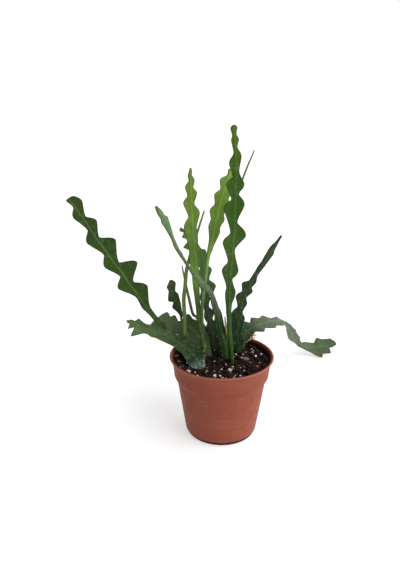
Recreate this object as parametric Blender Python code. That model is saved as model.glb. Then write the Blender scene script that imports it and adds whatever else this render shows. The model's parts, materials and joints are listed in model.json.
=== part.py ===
"""A potted fishbone cactus: a tapered plastic pot, its soil, and fifteen flat, lobed or quill-like stems.

World frame: metres, +Z up, origin in the middle of the pot's underside, the photographed front facing -Y.
Lengths below are in millimetres and are turned into metres when a mesh is made.
Each stem is a loft: a route, the way that its flat side faces, and the lobes of its two margins.
"""

import math
import random

import bpy
import numpy as np
from mathutils import Vector, noise
from mathutils.bvhtree import BVHTree

MM = 0.001
GAP = 0.3

# Pot
POT_HEIGHT = 97.0
LIP_RADIUS = 60.0
LIP_THICKNESS = 1.9
COLLAR_TOP_RADIUS = 56.2
COLLAR_FOOT_RADIUS = 54.2
COLLAR_FOOT_Z = 72.5
STEP_FOOT_Z = 69.5
BODY_TOP_RADIUS = 51.2
BODY_FOOT_RADIUS = 40.9
FOOT_ROUND = 5.0
WALL = 1.5
POT_FLOOR_TOP = 3.4
CHANNEL_INNER, CHANNEL_OUTER, CHANNEL_DEPTH = 13.0, 31.0, 1.2
DRAIN_COUNT, DRAIN_RADIUS, DRAIN_CIRCLE = 8, 4.0, 22.0
POT_SIDES = 48

# Soil
SOIL_Z = 90.0
SOIL_RELIEF = 0.9
SOIL_RINGS = 9
SOIL_SIDES = 48
CRUMB_COUNT = 70
HOLE_FLOOR_Z = 77.6

# Stems
EDGE_HALF = 0.5
RIB_HALF = 1.45
BLEND = 18.0
TIP_HALF = 0.9
FOLD = 0.10
FLANKS = (1.3, 0.6)
LONGEST_STEP = 4.2
STALK_STEP = 8.0
LEAST_STEP = 1.3
FOOT_HALF = 1.5
FOOT_TAPER = 0.55
FOOT_LENGTH = 7.0
FOOT_RISE = 3.0
SEAT_START = 2.5
SEAT_ROUNDS = 5
BASE_LENGTH = 20.0
ROUND_FLAT = 0.87
BAY_SHARE = 0.62
QUILL_TAPER = 0.6
QUILL_TIP = 0.35
TIP_THINNING = 30.0
HOLE_ROOM = GAP + 0.15

GREEN_DARK = (0.016, 0.036, 0.013)
GREEN_DEEP = (0.052, 0.115, 0.018)
GREEN_LEAF = (0.045, 0.088, 0.016)
GREEN_GREY = (0.105, 0.160, 0.075)
GREEN_LIGHT = (0.175, 0.270, 0.045)
GREEN_QUILL = (0.210, 0.280, 0.085)

# One entry for each stem. route: points that the midrib passes, in mm. A route that starts below the soil surface
# stands in the soil; one with grows_from starts at that stem's margin, at that distance along it.
# face: (turn, lift) of the flat side, in degrees from the front and from the level, spread along the stem.
# left, right: lobes as (notch on the root side, peak, reach of the peak from the midrib).
# flanks: for each margin, how hollow the lobes are on the root side and on the tip side (under 1 is full).
STEMS = {
    "stem_tall": dict(
        colour=GREEN_DEEP,
        route=[(12, -10, 78), (12, -10, 92), (7, -8, 138), (7, -5, 180), (12, -2, 237), (13, 1, 285),
               (13, 4, 318), (10, 6, 354)],
        face=[(0, 5), (4, 5), (-6, 5)],
        stalk=2.75,
        left=[(82, 91, 4), (103, 117, 9.5), (131, 151, 12), (161, 193, 12.5), (198, 215, 9.5),
              (221, 238, 7.8), (243, 259, 5), (265, 272, 4.5)],
        right=[(86, 95, 7), (113, 126, 8), (146, 163, 11.5), (179, 195, 10), (206, 218, 9.5),
               (229, 242, 5.5), (252, 262, 4.5), (267, 273, 4)],
        waist=(4.0, 2.4),
        flanks=((1.4, 0.55), (1.5, 0.6)),
    ),
    "stem_low_left": dict(
        colour=GREEN_GREY,
        route=[(-21, -19, 78), (-21, -19, 90.5), (-25, -11, 97.5), (-33, 1, 100.5), (-44, 13, 102),
               (-58, 28, 103.3), (-76, 43, 104), (-93, 52, 105), (-112.5, 61, 106.5)],
        face=[(0, 40), (0, 46), (0, 52), (0, 48), (0, 38)],
        stalk=2.6,
        base_half=6.5,
        left=[(15, 29, 10), (41, 53, 9), (62, 76, 8.5), (86, 97, 7.5), (109, 130, 12)],
        right=[(12, 20, 15), (37, 46, 10), (55, 70, 9), (78, 88, 9.5), (95, 109, 9.5), (119, 136, 13)],
        waist=(5.0, 5.0),
        flanks=((1.1, 0.5), (1.1, 0.5)),
        rib=1.7,
        tip=2.6,
    ),
    "blade_left": dict(
        colour=GREEN_LEAF,
        grows_from=("stem_low_left", "right", 95),
        route=[(-75, 54, 114), (-86, 54, 129), (-99, 53, 148), (-118, 50, 182), (-139, 47, 216),
               (-157, 44, 248), (-173, 41, 272)],
        face=[(0, 12)],
        stalk=3.4,
        left=[(42, 79, 14), (85, 114, 14), (120, 146, 14), (154, 178, 10.5), (184, 192, 6.5)],
        right=[(34, 61, 17), (69, 94, 21), (101, 128, 15.5), (138, 158, 10), (168, 186, 10.5)],
        waist=(5.0, 2.8),
        flanks=((2.0, 0.45), (1.7, 0.42)),
        tip=3.5,
    ),
    "blade_light_first": dict(
        colour=GREEN_LIGHT,
        grows_from=("stem_low_left", "right", 36),
        route=[(-24.5, 5.5, 116), (-25.5, 7, 135), (-28, 9, 166), (-29, 11, 192), (-31, 12, 225), (-34, 13, 264),
               (-35, 15, 309)],
        face=[(0, 5), (6, 5), (-4, 5)],
        stalk=2.9,
        left=[(64, 85, 5), (100, 115, 6), (127, 139, 9), (151, 167, 8.5), (175, 183, 5.5), (190, 196, 3)],
        right=[(80, 106, 5), (119, 127, 5.5), (138, 155, 9), (166, 176, 7), (184, 191, 4.5), (197, 201, 2.6)],
        waist=(3.6, 2.8),
    ),
    "blade_light_second": dict(
        colour=GREEN_LIGHT,
        grows_from=("stem_low_left", "right", 26),
        route=[(-16.5, 6.5, 114), (-20, 13, 136), (-21, 17, 159), (-19, 20, 181), (-15, 22, 205), (-11.5, 24, 227),
               (-6.5, 26, 253), (0, 28, 278), (9, 30, 306)],
        face=[(0, 5), (-4, 5), (8, 5)],
        stalk=1.9,
        left=[(84, 114, 5.5), (127, 139, 7.5), (149, 159, 9), (166, 177, 9), (183, 194, 8), (198, 203, 4)],
        right=[(92, 108, 2.5), (117, 134, 7), (139, 149, 12), (155, 168, 13), (176, 187, 12), (194, 201, 4)],
        waist=(4.4, 3.8),
        flanks=((1.9, 0.4), (1.5, 0.5)),
    ),
    "quill_long": dict(
        colour=GREEN_QUILL,
        grows_from=("stem_low_left", "right", 55),
        route=[(-43, 20, 118), (-43, 19, 136), (-44, 18, 158), (-42, 18, 173), (-40, 19, 194), (-36, 20, 210),
               (-27, 23, 239), (-20, 24, 261)],
        face=[(0, 0)],
        stalk=2.2,
    ),
    "stem_low_back": dict(
        colour=GREEN_DARK,
        route=[(-18, 21, 78), (-18, 21, 92), (-24, 31, 102.5), (-37, 45, 110.5), (-51, 53, 113.5),
               (-67, 60, 114.5), (-85, 64, 113)],
        face=[(0, 20), (0, 35), (0, 42)],
        stalk=2.5,
        base_half=5.5,
        left=[(20, 36, 17), (46, 56, 17), (64, 75, 14), (83, 92, 9)],
        right=[(22, 37, 13), (48, 58, 14.5), (66, 73, 8.5), (79, 85, 11), (92, 98, 6)],
        waist=(7.0, 5.0),
        rib=1.7,
        tip=3.0,
    ),
    "blade_small_dark": dict(
        colour=GREEN_DARK,
        grows_from=("stem_low_back", "right", 66),
        route=[(-48, 58, 124), (-50, 57, 136), (-56.5, 54, 152), (-60, 51, 171)],
        face=[(0, 0)],
        stalk=1.9,
        left=[(6, 16, 10), (25, 32, 9), (39, 48, 5)],
        right=[(7, 14, 6.5), (22, 30, 6.5), (38, 49, 6)],
        waist=(3.8, 3.2),
        blend=6.0,
        tip=1.4,
    ),
    "quill_short": dict(
        colour=GREEN_QUILL,
        grows_from=("stem_low_back", "right", 48),
        route=[(-34, 46, 128), (-37.5, 42, 148), (-41.5, 41, 168), (-46, 38, 193)],
        face=[(0, 0)],
        stalk=2.0,
    ),
    "blade_grey": dict(
        colour=GREEN_GREY,
        route=[(-8, 31, 78), (-8, 31, 90), (-11, 32, 112), (-18, 34, 148), (-20, 36, 172), (-20, 39, 194),
               (-23, 42, 207), (-31, 45, 218), (-39, 50, 227), (-48, 54, 234)],
        face=[(-6, 0), (-3, 5), (0, 12)],
        stalk=3.0,
        left=[(22, 34, 6), (44, 52, 5), (62, 72, 5), (84, 100, 9), (110, 122, 15), (133, 142, 9),
              (150, 158, 9)],
        right=[(26, 40, 6), (50, 58, 5), (74, 92, 13.5), (100, 109, 7), (122, 130, 4), (142, 150, 4)],
        waist=(4.4, 4.4),
        blend=14.0,
        tip=1.5,
    ),
    "stem_arching": dict(
        colour=GREEN_GREY,
        route=[(8, 18, 78), (8, 18, 90), (3.4, 15, 111), (-2.4, 10, 130), (-8, 2, 156), (-15.5, -6, 177),
               (-26, -12, 192), (-41.5, -21, 214), (-55.5, -30, 246), (-69.5, -37, 277)],
        face=[(10, 0), (25, 0), (50, 5), (76, 10), (78, 10), (62, 10), (55, 10)],
        stalk=2.4,
        left=[(34, 58, 8), (76, 92, 6.5), (108, 122, 5), (138, 154, 4.5), (176, 205, 4.5)],
        right=[(36, 70, 6.5), (84, 104, 6.5), (118, 132, 5.5), (150, 166, 5), (184, 203, 7)],
        waist=(4.0, 4.4),
    ),
    "bud_quill": dict(
        colour=GREEN_QUILL,
        grows_from=("stem_arching", "right", 31),
        route=[(8.5, 13.5, 114), (7, 9, 122), (5.4, 6, 131), (4.4, 4.5, 142)],
        face=[(0, 0)],
        stalk=1.8,
    ),
    "quill_back": dict(
        colour=GREEN_LEAF,
        route=[(16, 38, 78), (16, 38, 90), (11, 38, 112), (9, 36, 151), (10, 34, 195), (12, 33, 237),
               (15, 34, 265), (23, 38, 295), (35, 44, 324)],
        face=[(0, 0)],
        stalk=1.7,
    ),
    "stem_leaning": dict(
        colour=GREEN_DARK,
        route=[(21, 19, 78), (21, 19, 90), (21, 21, 112), (21, 24, 132), (23, 26, 149), (32, 30, 168),
               (47.8, 35, 196.5), (69, 42, 228)],
        face=[(12, 0), (8, 0), (15, 0), (28, 0), (40, 0)],
        stalk=2.6,
        left=[(14, 34, 12), (46, 54, 8), (63, 76, 8), (84, 95, 9.5), (104, 116, 4.5), (130, 144, 3)],
        right=[(22, 38, 6), (47, 54, 7), (62, 77, 7.5), (82, 92, 6.5), (98, 110, 5), (119, 143, 5.5)],
        waist=(3.4, 2.6),
    ),
    "stem_trailing": dict(
        colour=GREEN_GREY,
        route=[(24, 31, 78), (24, 31, 89), (28, 35, 102), (36, 39, 111), (47, 44, 116), (61, 53, 115),
               (79, 73, 108), (96.5, 112, 81.5), (110, 160, 43), (124.5, 191, 17), (142, 201, 11.4),
               (161, 204, 11.2), (184, 213, 11.4)],
        face=[(0, 15), (0, 50), (0, 64), (110, 66), (50, 62), (0, 47), (0, 46)],
        stalk=2.6,
        base_half=4.5,
        left=[(16, 34, 13.5), (43, 53, 11), (60, 72, 10), (80, 93, 9.5), (102, 117, 9.5), (126, 141, 9.5),
              (150, 166, 10), (175, 190, 10), (199, 213, 10), (222, 236, 10), (246, 258, 6), (266, 293, 16),
              (298, 310, 12)],
        right=[(18, 33, 11), (40, 50, 11), (55, 64, 10), (70, 80, 9), (90, 104, 9), (113, 128, 9.5),
               (138, 152, 10), (163, 177, 10), (187, 201, 10), (210, 224, 10), (234, 247, 7), (262, 287, 16.5),
               (293, 302, 6)],
        waist=(5.0, 5.0),
        rib=1.7,
        tip=3.0,
    ),
}


def start_empty():
    for thing in list(bpy.data.objects):
        bpy.data.objects.remove(thing, do_unlink=True)


def material(name, colour, roughness):
    made = bpy.data.materials.new(name)
    made.use_nodes = True
    shader = made.node_tree.nodes["Principled BSDF"]
    shader.inputs["Base Color"].default_value = (*colour, 1)
    shader.inputs["Roughness"].default_value = roughness
    shader.inputs["Metallic"].default_value = 0.0
    return made


def add_object(name, points_mm, faces, made_material, sharp_degrees=None):
    mesh = bpy.data.meshes.new(name)
    mesh.from_pydata([tuple(c * MM for c in p) for p in points_mm], [], faces)
    mesh.materials.append(made_material)
    if sharp_degrees is not None:
        mesh.shade_smooth()
        mesh.set_sharp_from_angle(angle=math.radians(sharp_degrees))
    piece = bpy.data.objects.new(name, mesh)
    bpy.context.collection.objects.link(piece)
    return piece


def lathe(profile, sides):
    """Points and faces of a closed ring or solid turned round Z from (radius, height) pairs.

    The profile runs down the outer side first. A pair at radius 0 is a pole.
    """
    points, rows = [], []
    for radius, height in profile:
        if radius == 0:
            rows.append([len(points)] * sides)
            points.append((0.0, 0.0, height))
            continue
        rows.append(list(range(len(points), len(points) + sides)))
        for k in range(sides):
            angle = 2 * math.pi * k / sides
            points.append((radius * math.cos(angle), radius * math.sin(angle), height))
    closed = profile[0][0] != 0 or profile[-1][0] != 0
    count = len(rows) if closed else len(rows) - 1
    faces = []
    for i in range(count):
        upper, lower = rows[i], rows[(i + 1) % len(rows)]
        for k in range(sides):
            n = (k + 1) % sides
            corners = [upper[k], lower[k], lower[n], upper[n]]
            corner_set = list(dict.fromkeys(corners))
            if len(corner_set) > 2:
                faces.append(corner_set)
    return points, faces


def boolean(piece, operation, tool=None, tools=None):
    """Applies one Boolean to the piece, and removes the tool objects afterwards."""
    modifier = piece.modifiers.new("cut", "BOOLEAN")
    modifier.operation = operation
    modifier.solver = "EXACT"
    if tools is not None:
        modifier.operand_type = "COLLECTION"
        modifier.collection = tools
    else:
        modifier.object = tool
    evaluated = piece.evaluated_get(bpy.context.evaluated_depsgraph_get())
    mesh = bpy.data.meshes.new_from_object(evaluated)
    piece.modifiers.clear()
    old = piece.data
    piece.data = mesh
    mesh.name = piece.name
    bpy.data.meshes.remove(old)
    used = list(tools.objects) if tools is not None else [tool]
    for thing in used:
        bpy.data.objects.remove(thing, do_unlink=True)
    if tools is not None:
        bpy.data.collections.remove(tools)


def tool_collection(name, parts):
    """A collection of closed meshes, each given as (points, faces), for one Boolean."""
    made = bpy.data.collections.new(name)
    bpy.context.scene.collection.children.link(made)
    for k, (points, faces) in enumerate(parts):
        mesh = bpy.data.meshes.new(f"{name}_{k}")
        mesh.from_pydata([tuple(c * MM for c in p) for p in points], [], faces)
        part = bpy.data.objects.new(f"{name}_{k}", mesh)
        part.hide_render = True
        part.display_type = "WIRE"
        made.objects.link(part)
    return made


def prism(centre, half_width, half_depth, low, high, sides, turn=0.0):
    """An upright elliptical prism round centre (x, y), turned about Z by turn degrees."""
    t = math.radians(turn)
    points = []
    for height in (high, low):
        for k in range(sides):
            a = 2 * math.pi * k / sides
            x, y = half_width * math.cos(a), half_depth * math.sin(a)
            points.append((centre[0] + x * math.cos(t) - y * math.sin(t),
                           centre[1] + x * math.sin(t) + y * math.cos(t), height))
    faces = [list(range(sides)), list(range(2 * sides - 1, sides - 1, -1))]
    for k in range(sides):
        n = (k + 1) % sides
        faces.append([k, k + sides, n + sides, n])
    return points, faces


def inner_radius(height):
    """The pot's inner wall at a height."""
    if height >= COLLAR_FOOT_Z:
        share = (height - COLLAR_FOOT_Z) / (POT_HEIGHT - COLLAR_FOOT_Z)
        return COLLAR_FOOT_RADIUS - WALL + share * (COLLAR_TOP_RADIUS - COLLAR_FOOT_RADIUS)
    if height >= STEP_FOOT_Z:
        share = (height - STEP_FOOT_Z) / (COLLAR_FOOT_Z - STEP_FOOT_Z)
        return BODY_TOP_RADIUS - WALL + share * (COLLAR_FOOT_RADIUS - BODY_TOP_RADIUS)
    share = height / STEP_FOOT_Z
    return BODY_FOOT_RADIUS - WALL + share * (BODY_TOP_RADIUS - BODY_FOOT_RADIUS)


def pot_profile():
    lip_foot = POT_HEIGHT - LIP_THICKNESS
    half = LIP_THICKNESS / 2
    outer = [(LIP_RADIUS - 0.5, POT_HEIGHT), (LIP_RADIUS, POT_HEIGHT - 0.5),
             (LIP_RADIUS, lip_foot + 0.4), (LIP_RADIUS - 0.4, lip_foot),
             (COLLAR_TOP_RADIUS + half, lip_foot - 0.2), (COLLAR_TOP_RADIUS, lip_foot - 1.2),
             (COLLAR_FOOT_RADIUS, COLLAR_FOOT_Z), (COLLAR_FOOT_RADIUS - 0.5, COLLAR_FOOT_Z - 0.9),
             (BODY_TOP_RADIUS + 0.2, STEP_FOOT_Z + 0.4), (BODY_TOP_RADIUS, STEP_FOOT_Z - 0.6),
             (BODY_FOOT_RADIUS, FOOT_ROUND)]
    for turn in (30, 60, 90):
        a = math.radians(turn)
        outer.append((BODY_FOOT_RADIUS - FOOT_ROUND * (1 - math.cos(a)), FOOT_ROUND * (1 - math.sin(a))))
    under = [(CHANNEL_OUTER + 0.6, 0.0), (CHANNEL_OUTER, CHANNEL_DEPTH), (CHANNEL_INNER, CHANNEL_DEPTH),
             (CHANNEL_INNER - 0.6, 0.0), (0.0, 0.0)]
    inside = [(0.0, POT_FLOOR_TOP), (inner_radius(POT_FLOOR_TOP) - 1.5, POT_FLOOR_TOP),
              (inner_radius(POT_FLOOR_TOP + 1.5), POT_FLOOR_TOP + 1.5),
              (inner_radius(STEP_FOOT_Z - 0.01), STEP_FOOT_Z), (inner_radius(COLLAR_FOOT_Z), COLLAR_FOOT_Z),
              (inner_radius(POT_HEIGHT - 1.0), POT_HEIGHT - 1.0),
              (inner_radius(POT_HEIGHT - 1.0) + 0.6, POT_HEIGHT)]
    return outer + under + inside


def build_pot():
    terracotta = material("pot_plastic", (0.270, 0.085, 0.050), 0.55)
    points, faces = lathe(pot_profile(), POT_SIDES)
    pot = add_object("pot", points, faces, terracotta)
    drains = []
    for k in range(DRAIN_COUNT):
        angle = 2 * math.pi * (k + 0.5) / DRAIN_COUNT
        middle = (DRAIN_CIRCLE * math.cos(angle), DRAIN_CIRCLE * math.sin(angle))
        drains.append(prism(middle, DRAIN_RADIUS, DRAIN_RADIUS, -2.0, POT_FLOOR_TOP + 2.0, 12))
    boolean(pot, "DIFFERENCE", tools=tool_collection("drain", drains))
    pot.data.shade_smooth()
    pot.data.set_sharp_from_angle(angle=math.radians(32))
    return pot


def unit(v):
    return v / np.linalg.norm(v)


def smooth_route(points):
    """Points about 1 mm apart on a smooth curve through the route's points, and their distances along it.

    A route that starts upright keeps straight up to its second point.
    """
    p = np.asarray(points, float)
    gaps = np.sqrt(np.linalg.norm(np.diff(p, axis=0), axis=1))
    knots = np.concatenate([[0], np.cumsum(gaps)])
    slope = np.gradient(p, knots, axis=0)
    if np.allclose(p[0, :2], p[1, :2]):
        slope[:2, :2] = 0.0
    curve = []
    for i in range(len(p) - 1):
        h = knots[i + 1] - knots[i]
        for t in np.linspace(0, 1, 60, endpoint=False):
            curve.append((2 * t**3 - 3 * t**2 + 1) * p[i] + (t**3 - 2 * t**2 + t) * h * slope[i]
                         + (3 * t**2 - 2 * t**3) * p[i + 1] + (t**3 - t**2) * h * slope[i + 1])
    curve = np.array(curve + [p[-1]])
    along = np.concatenate([[0], np.cumsum(np.linalg.norm(np.diff(curve, axis=0), axis=1))])
    at = np.linspace(0, along[-1], int(round(along[-1])) + 1)
    return np.stack([np.interp(at, along, curve[:, k]) for k in range(3)], axis=1), at


def face_vector(turn, lift):
    t, rise = math.radians(turn), math.radians(lift)
    return np.array([math.sin(t) * math.cos(rise), -math.cos(t) * math.cos(rise), math.sin(rise)])


def lay_out(route, face):
    """The stem's line: distances, centres, and the directions across the blade and out of its flat side."""
    centre, at = smooth_route(route)
    along = np.gradient(centre, at, axis=0)
    along /= np.linalg.norm(along, axis=1)[:, None]
    places = np.linspace(0, at[-1], len(face))
    looks = np.array([face_vector(*f) for f in face])
    look = np.stack([np.interp(at, places, looks[:, k]) for k in range(3)], axis=1)
    across = np.cross(along, look)
    across /= np.linalg.norm(across, axis=1)[:, None]
    return dict(at=at, centre=centre, across=across, normal=np.cross(across, along), length=at[-1])


def read(line, key, s):
    return np.array([np.interp(s, line["at"], line[key][:, k]) for k in range(3)])


def reach(s, lobes, waist, tip, length, powers):
    """How far a margin stands from the midrib at s: bays at each notch, a rounded lobe round each peak."""
    for i, (notch, peak, height) in enumerate(lobes):
        last = i + 1 == len(lobes)
        end = length if last else lobes[i + 1][0]
        if not notch <= s <= end:
            continue
        before = min(waist, BAY_SHARE * height if i == 0 else BAY_SHARE * min(height, lobes[i - 1][2]))
        after = tip if last else min(waist, BAY_SHARE * min(height, lobes[i + 1][2]))
        root_power, tip_power = powers
        if s <= peak:
            rise = math.sin(math.pi / 2 * (s - notch) / (peak - notch))
            return before + (height - before) * rise**root_power
        rise = math.sin(math.pi / 2 * (end - s) / (end - peak))
        return after + (height - after) * max(rise, 0.0)**tip_power
    return 0.0


def first_notch(stem):
    """Where the round stalk ends and the blade begins."""
    if not stem.get("left"):
        return stem["line"]["length"]
    return min(stem["left"][0][0], stem["right"][0][0])


def half_widths(stem, s):
    """The blade's reach to the left and to the right at s, with the stalk's own half width at the root."""
    length, tip = stem["line"]["length"], stem.get("tip", TIP_HALF)
    stalk = ROUND_FLAT * stem["stalk"]
    if s < BASE_LENGTH:
        stalk = stem.get("base_half", stalk)
    if not stem.get("left"):
        taper = min(1.0, (length - s) / (QUILL_TAPER * length))
        width = ROUND_FLAT * stem["stalk"] * (QUILL_TIP + (1 - QUILL_TIP) * taper**0.7)
        return width, width
    widths = []
    for side, lobes in enumerate((stem["left"], stem["right"])):
        waist = stem["waist"][side]
        powers = stem.get("flanks", (FLANKS, FLANKS))[side]
        first = lobes[0][0]
        if s < first:
            widths.append(stalk)
            continue
        grown = reach(s, lobes, waist, tip, length, powers)
        blend = min(1.0, (s - first) / stem.get("blend", BLEND))
        widths.append(max(grown * blend + stalk * (1 - blend), min(stalk, grown) if blend < 1 else grown))
    return widths


def thickness(stem, s):
    """Half the thickness at the margins and at the midrib."""
    length, stalk = stem["line"]["length"], stem["stalk"]
    if not stem.get("left"):
        width = half_widths(stem, s)[0] / ROUND_FLAT
        return 0.5 * width, width
    blend = min(1.0, max(0.0, (s - first_notch(stem)) / stem.get("blend", BLEND)))
    rib = stem.get("rib", RIB_HALF)
    near_tip = min(1.0, 0.45 + 0.55 * (length - s) / TIP_THINNING)
    edge = 0.5 * stalk * (1 - blend) + EDGE_HALF * blend
    return edge * (0.8 + 0.2 * near_tip), (stalk * (1 - blend) + rib * blend) * near_tip


def foot_taper(stem, s):
    """A shoot is drawn in where it leaves its parent's margin."""
    if "grows_from" not in stem:
        return 1.0
    return FOOT_TAPER + (1 - FOOT_TAPER) * min(1.0, s / FOOT_LENGTH)


def row_places(stem):
    """Distances of the cross sections: each notch and peak, and enough between them."""
    length = stem["line"]["length"]
    keys = {0.0, length}
    for lobes in (stem.get("left", ()), stem.get("right", ())):
        for notch, peak, _ in lobes:
            keys.update((float(notch), float(peak)))
    bends = (2.0, 6.0) if "grows_from" in stem else (11.0, 14.0, 18.0)
    keys.update(bends)
    ordered = [0.0]
    for key in sorted(k for k in keys if 0 < k < length - LEAST_STEP):
        if key - ordered[-1] >= LEAST_STEP:
            ordered.append(key)
    ordered.append(length)
    first = first_notch(stem)
    places = []
    for a, b in zip(ordered, ordered[1:]):
        longest = STALK_STEP if a < first - 1 else LONGEST_STEP
        count = max(1, math.ceil((b - a) / longest))
        places += [a + (b - a) * k / count for k in range(count)]
    return places + [length]


def stem_mesh(stem):
    """The loft: six points round each row, with the flat sides split into triangles alike."""
    line = stem["line"]
    points, faces = [], []
    fold, first = stem.get("fold", FOLD), first_notch(stem)
    for s in row_places(stem):
        centre, across, normal = (read(line, key, s) for key in ("centre", "across", "normal"))
        across, normal = unit(across), unit(normal)
        (left, right), (edge, rib) = half_widths(stem, s), thickness(stem, s)
        taper = foot_taper(stem, s)
        left, right, edge, rib = left * taper, right * taper, edge * taper, rib * taper
        blade = min(1.0, max(0.0, (s - first) / stem.get("blend", BLEND)))
        for x, z in ((-left, edge), (0, rib), (right, edge), (right, -edge), (0, -rib), (-left, -edge)):
            points.append(centre + x * across + (z + fold * blade * abs(x)) * normal)
    rows = len(points) // 6
    for r in range(rows - 1):
        a, b = 6 * r, 6 * (r + 1)
        for c in (0, 1):
            faces += [(a + c, a + c + 1, b + c + 1), (a + c, b + c + 1, b + c)]
            low, high = 5 - c, 4 - c
            faces += [(a + low, b + high, a + high), (a + low, b + low, b + high)]
        faces += [(a + 2, a + 3, b + 3), (a + 2, b + 3, b + 2)]
        faces += [(a + 5, a, b), (a + 5, b, b + 5)]
    last = 6 * (rows - 1)
    for c in (0, 1):
        low, high = 5 - c, 4 - c
        faces += [(c, low, high), (c, high, c + 1)]
        faces += [(last + c, last + high, last + low), (last + c, last + c + 1, last + high)]
    return points, faces


def margin_seat(stem, side, s):
    """A spot just off a stem's margin at s, and the direction out of that margin."""
    line = stem["line"]
    index, sign = (0, -1) if side == "left" else (1, 1)
    width = max(half_widths(stem, s + step)[index] for step in (-FOOT_HALF, 0.0, FOOT_HALF))
    across, normal = unit(read(line, "across", s)), unit(read(line, "normal", s))
    fold = stem.get("fold", FOLD)
    edge = read(line, "centre", s) + sign * (width + SEAT_START) * across + fold * width * normal
    return edge, sign * across


def seated_mesh(stem, parent):
    """A shoot's mesh, with its foot brought to GAP from the stem that it grows from."""
    _, side, s = stem["grows_from"]
    skin = BVHTree.FromPolygons([Vector(p) for p in parent["points"]], parent["faces"])
    foot, outward = margin_seat(parent, side, s)
    for _ in range(SEAT_ROUNDS):
        onward = unit(outward + unit(np.array(stem["route"][0]) - foot))
        stem["line"] = lay_out([foot, foot + FOOT_RISE * onward] + stem["route"], stem["face"])
        points, faces = stem_mesh(stem)
        ring = points[:6]
        middles = [(ring[k] + ring[k - 1]) / 2 for k in range(6)]
        nearest = min(skin.find_nearest(Vector(p))[3] for p in points[:18] + middles)
        foot = foot - (nearest - GAP) * outward
    return points, faces


def build_stems():
    for name, stem in STEMS.items():
        if "grows_from" in stem:
            points, faces = seated_mesh(stem, STEMS[stem["grows_from"][0]])
        else:
            stem["line"] = lay_out(stem["route"], stem["face"])
            points, faces = stem_mesh(stem)
        stem["points"], stem["faces"] = points, faces
        add_object(name, points, faces, material(name, stem["colour"], 0.42), 40)


def soil_height(x, y):
    bumps = noise.noise(Vector((x / 9, y / 9, 2.0))) + 0.5 * noise.noise(Vector((x / 4, y / 4, 7.0)))
    return SOIL_Z + SOIL_RELIEF * bumps


def soil_mesh():
    points, faces = [], []
    outer = inner_radius(SOIL_Z) - GAP - 0.05
    points.append((0.0, 0.0, soil_height(0, 0)))
    for ring in range(1, SOIL_RINGS + 1):
        radius = outer * ring / SOIL_RINGS
        for k in range(SOIL_SIDES):
            angle = 2 * math.pi * (k + 0.5 * ((SOIL_RINGS - ring) % 2)) / SOIL_SIDES
            x, y = radius * math.cos(angle), radius * math.sin(angle)
            points.append((x, y, SOIL_Z if ring == SOIL_RINGS else soil_height(x, y)))
    for k in range(SOIL_SIDES):
        faces.append((0, 1 + k, 1 + (k + 1) % SOIL_SIDES))
    for ring in range(1, SOIL_RINGS):
        inner, outer_row = 1 + (ring - 1) * SOIL_SIDES, 1 + ring * SOIL_SIDES
        for k in range(SOIL_SIDES):
            n = (k + 1) % SOIL_SIDES
            if (SOIL_RINGS - ring) % 2:
                faces += [(inner + k, outer_row + k, outer_row + n), (inner + k, outer_row + n, inner + n)]
            else:
                faces += [(inner + k, outer_row + k, inner + n), (outer_row + k, outer_row + n, inner + n)]
    rows = [1 + (SOIL_RINGS - 1) * SOIL_SIDES]
    floor = POT_FLOOR_TOP + GAP
    for height, inset in ((COLLAR_FOOT_Z, 0.0), (STEP_FOOT_Z - 0.5, 0.0), (floor + 1.6, 0.0), (floor, 1.6)):
        rows.append(len(points))
        radius = inner_radius(height) - GAP - 0.1 - inset
        for k in range(SOIL_SIDES):
            angle = 2 * math.pi * k / SOIL_SIDES
            points.append((radius * math.cos(angle), radius * math.sin(angle), height))
    for upper, lower in zip(rows, rows[1:]):
        for k in range(SOIL_SIDES):
            n = (k + 1) % SOIL_SIDES
            faces += [(upper + k, lower + k, lower + n), (upper + k, lower + n, upper + n)]
    faces.append(tuple(rows[-1] + k for k in reversed(range(SOIL_SIDES))))
    return points, faces


def stem_clearance(x, y):
    """The least plan distance in mm from a spot to any stem where the stem is low over the soil."""
    best = 1e9
    for stem in STEMS.values():
        low = stem["line"]["centre"][stem["line"]["centre"][:, 2] < SOIL_Z + 16]
        if len(low):
            best = min(best, float(np.min(np.hypot(low[:, 0] - x, low[:, 1] - y))))
    return best


def crumb(draw, x, y):
    """A squashed, turned octahedron standing a little out of the soil."""
    size = draw.uniform(1.3, 2.6)
    turn = draw.uniform(0, math.pi)
    flat = draw.uniform(0.55, 0.9)
    middle = soil_height(x, y) + 0.1 * size
    points = [(x, y, middle + flat * size), (x, y, middle - 1.4 * size)]
    for k in range(5):
        angle = turn + 2 * math.pi * k / 5
        r = size * draw.uniform(0.8, 1.1)
        points.append((x + r * math.cos(angle), y + r * math.sin(angle), middle + size * draw.uniform(-0.25, 0.25)))
    faces = []
    for k in range(5):
        n = (k + 1) % 5
        faces += [(0, 2 + k, 2 + n), (1, 2 + n, 2 + k)]
    return points, faces


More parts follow.
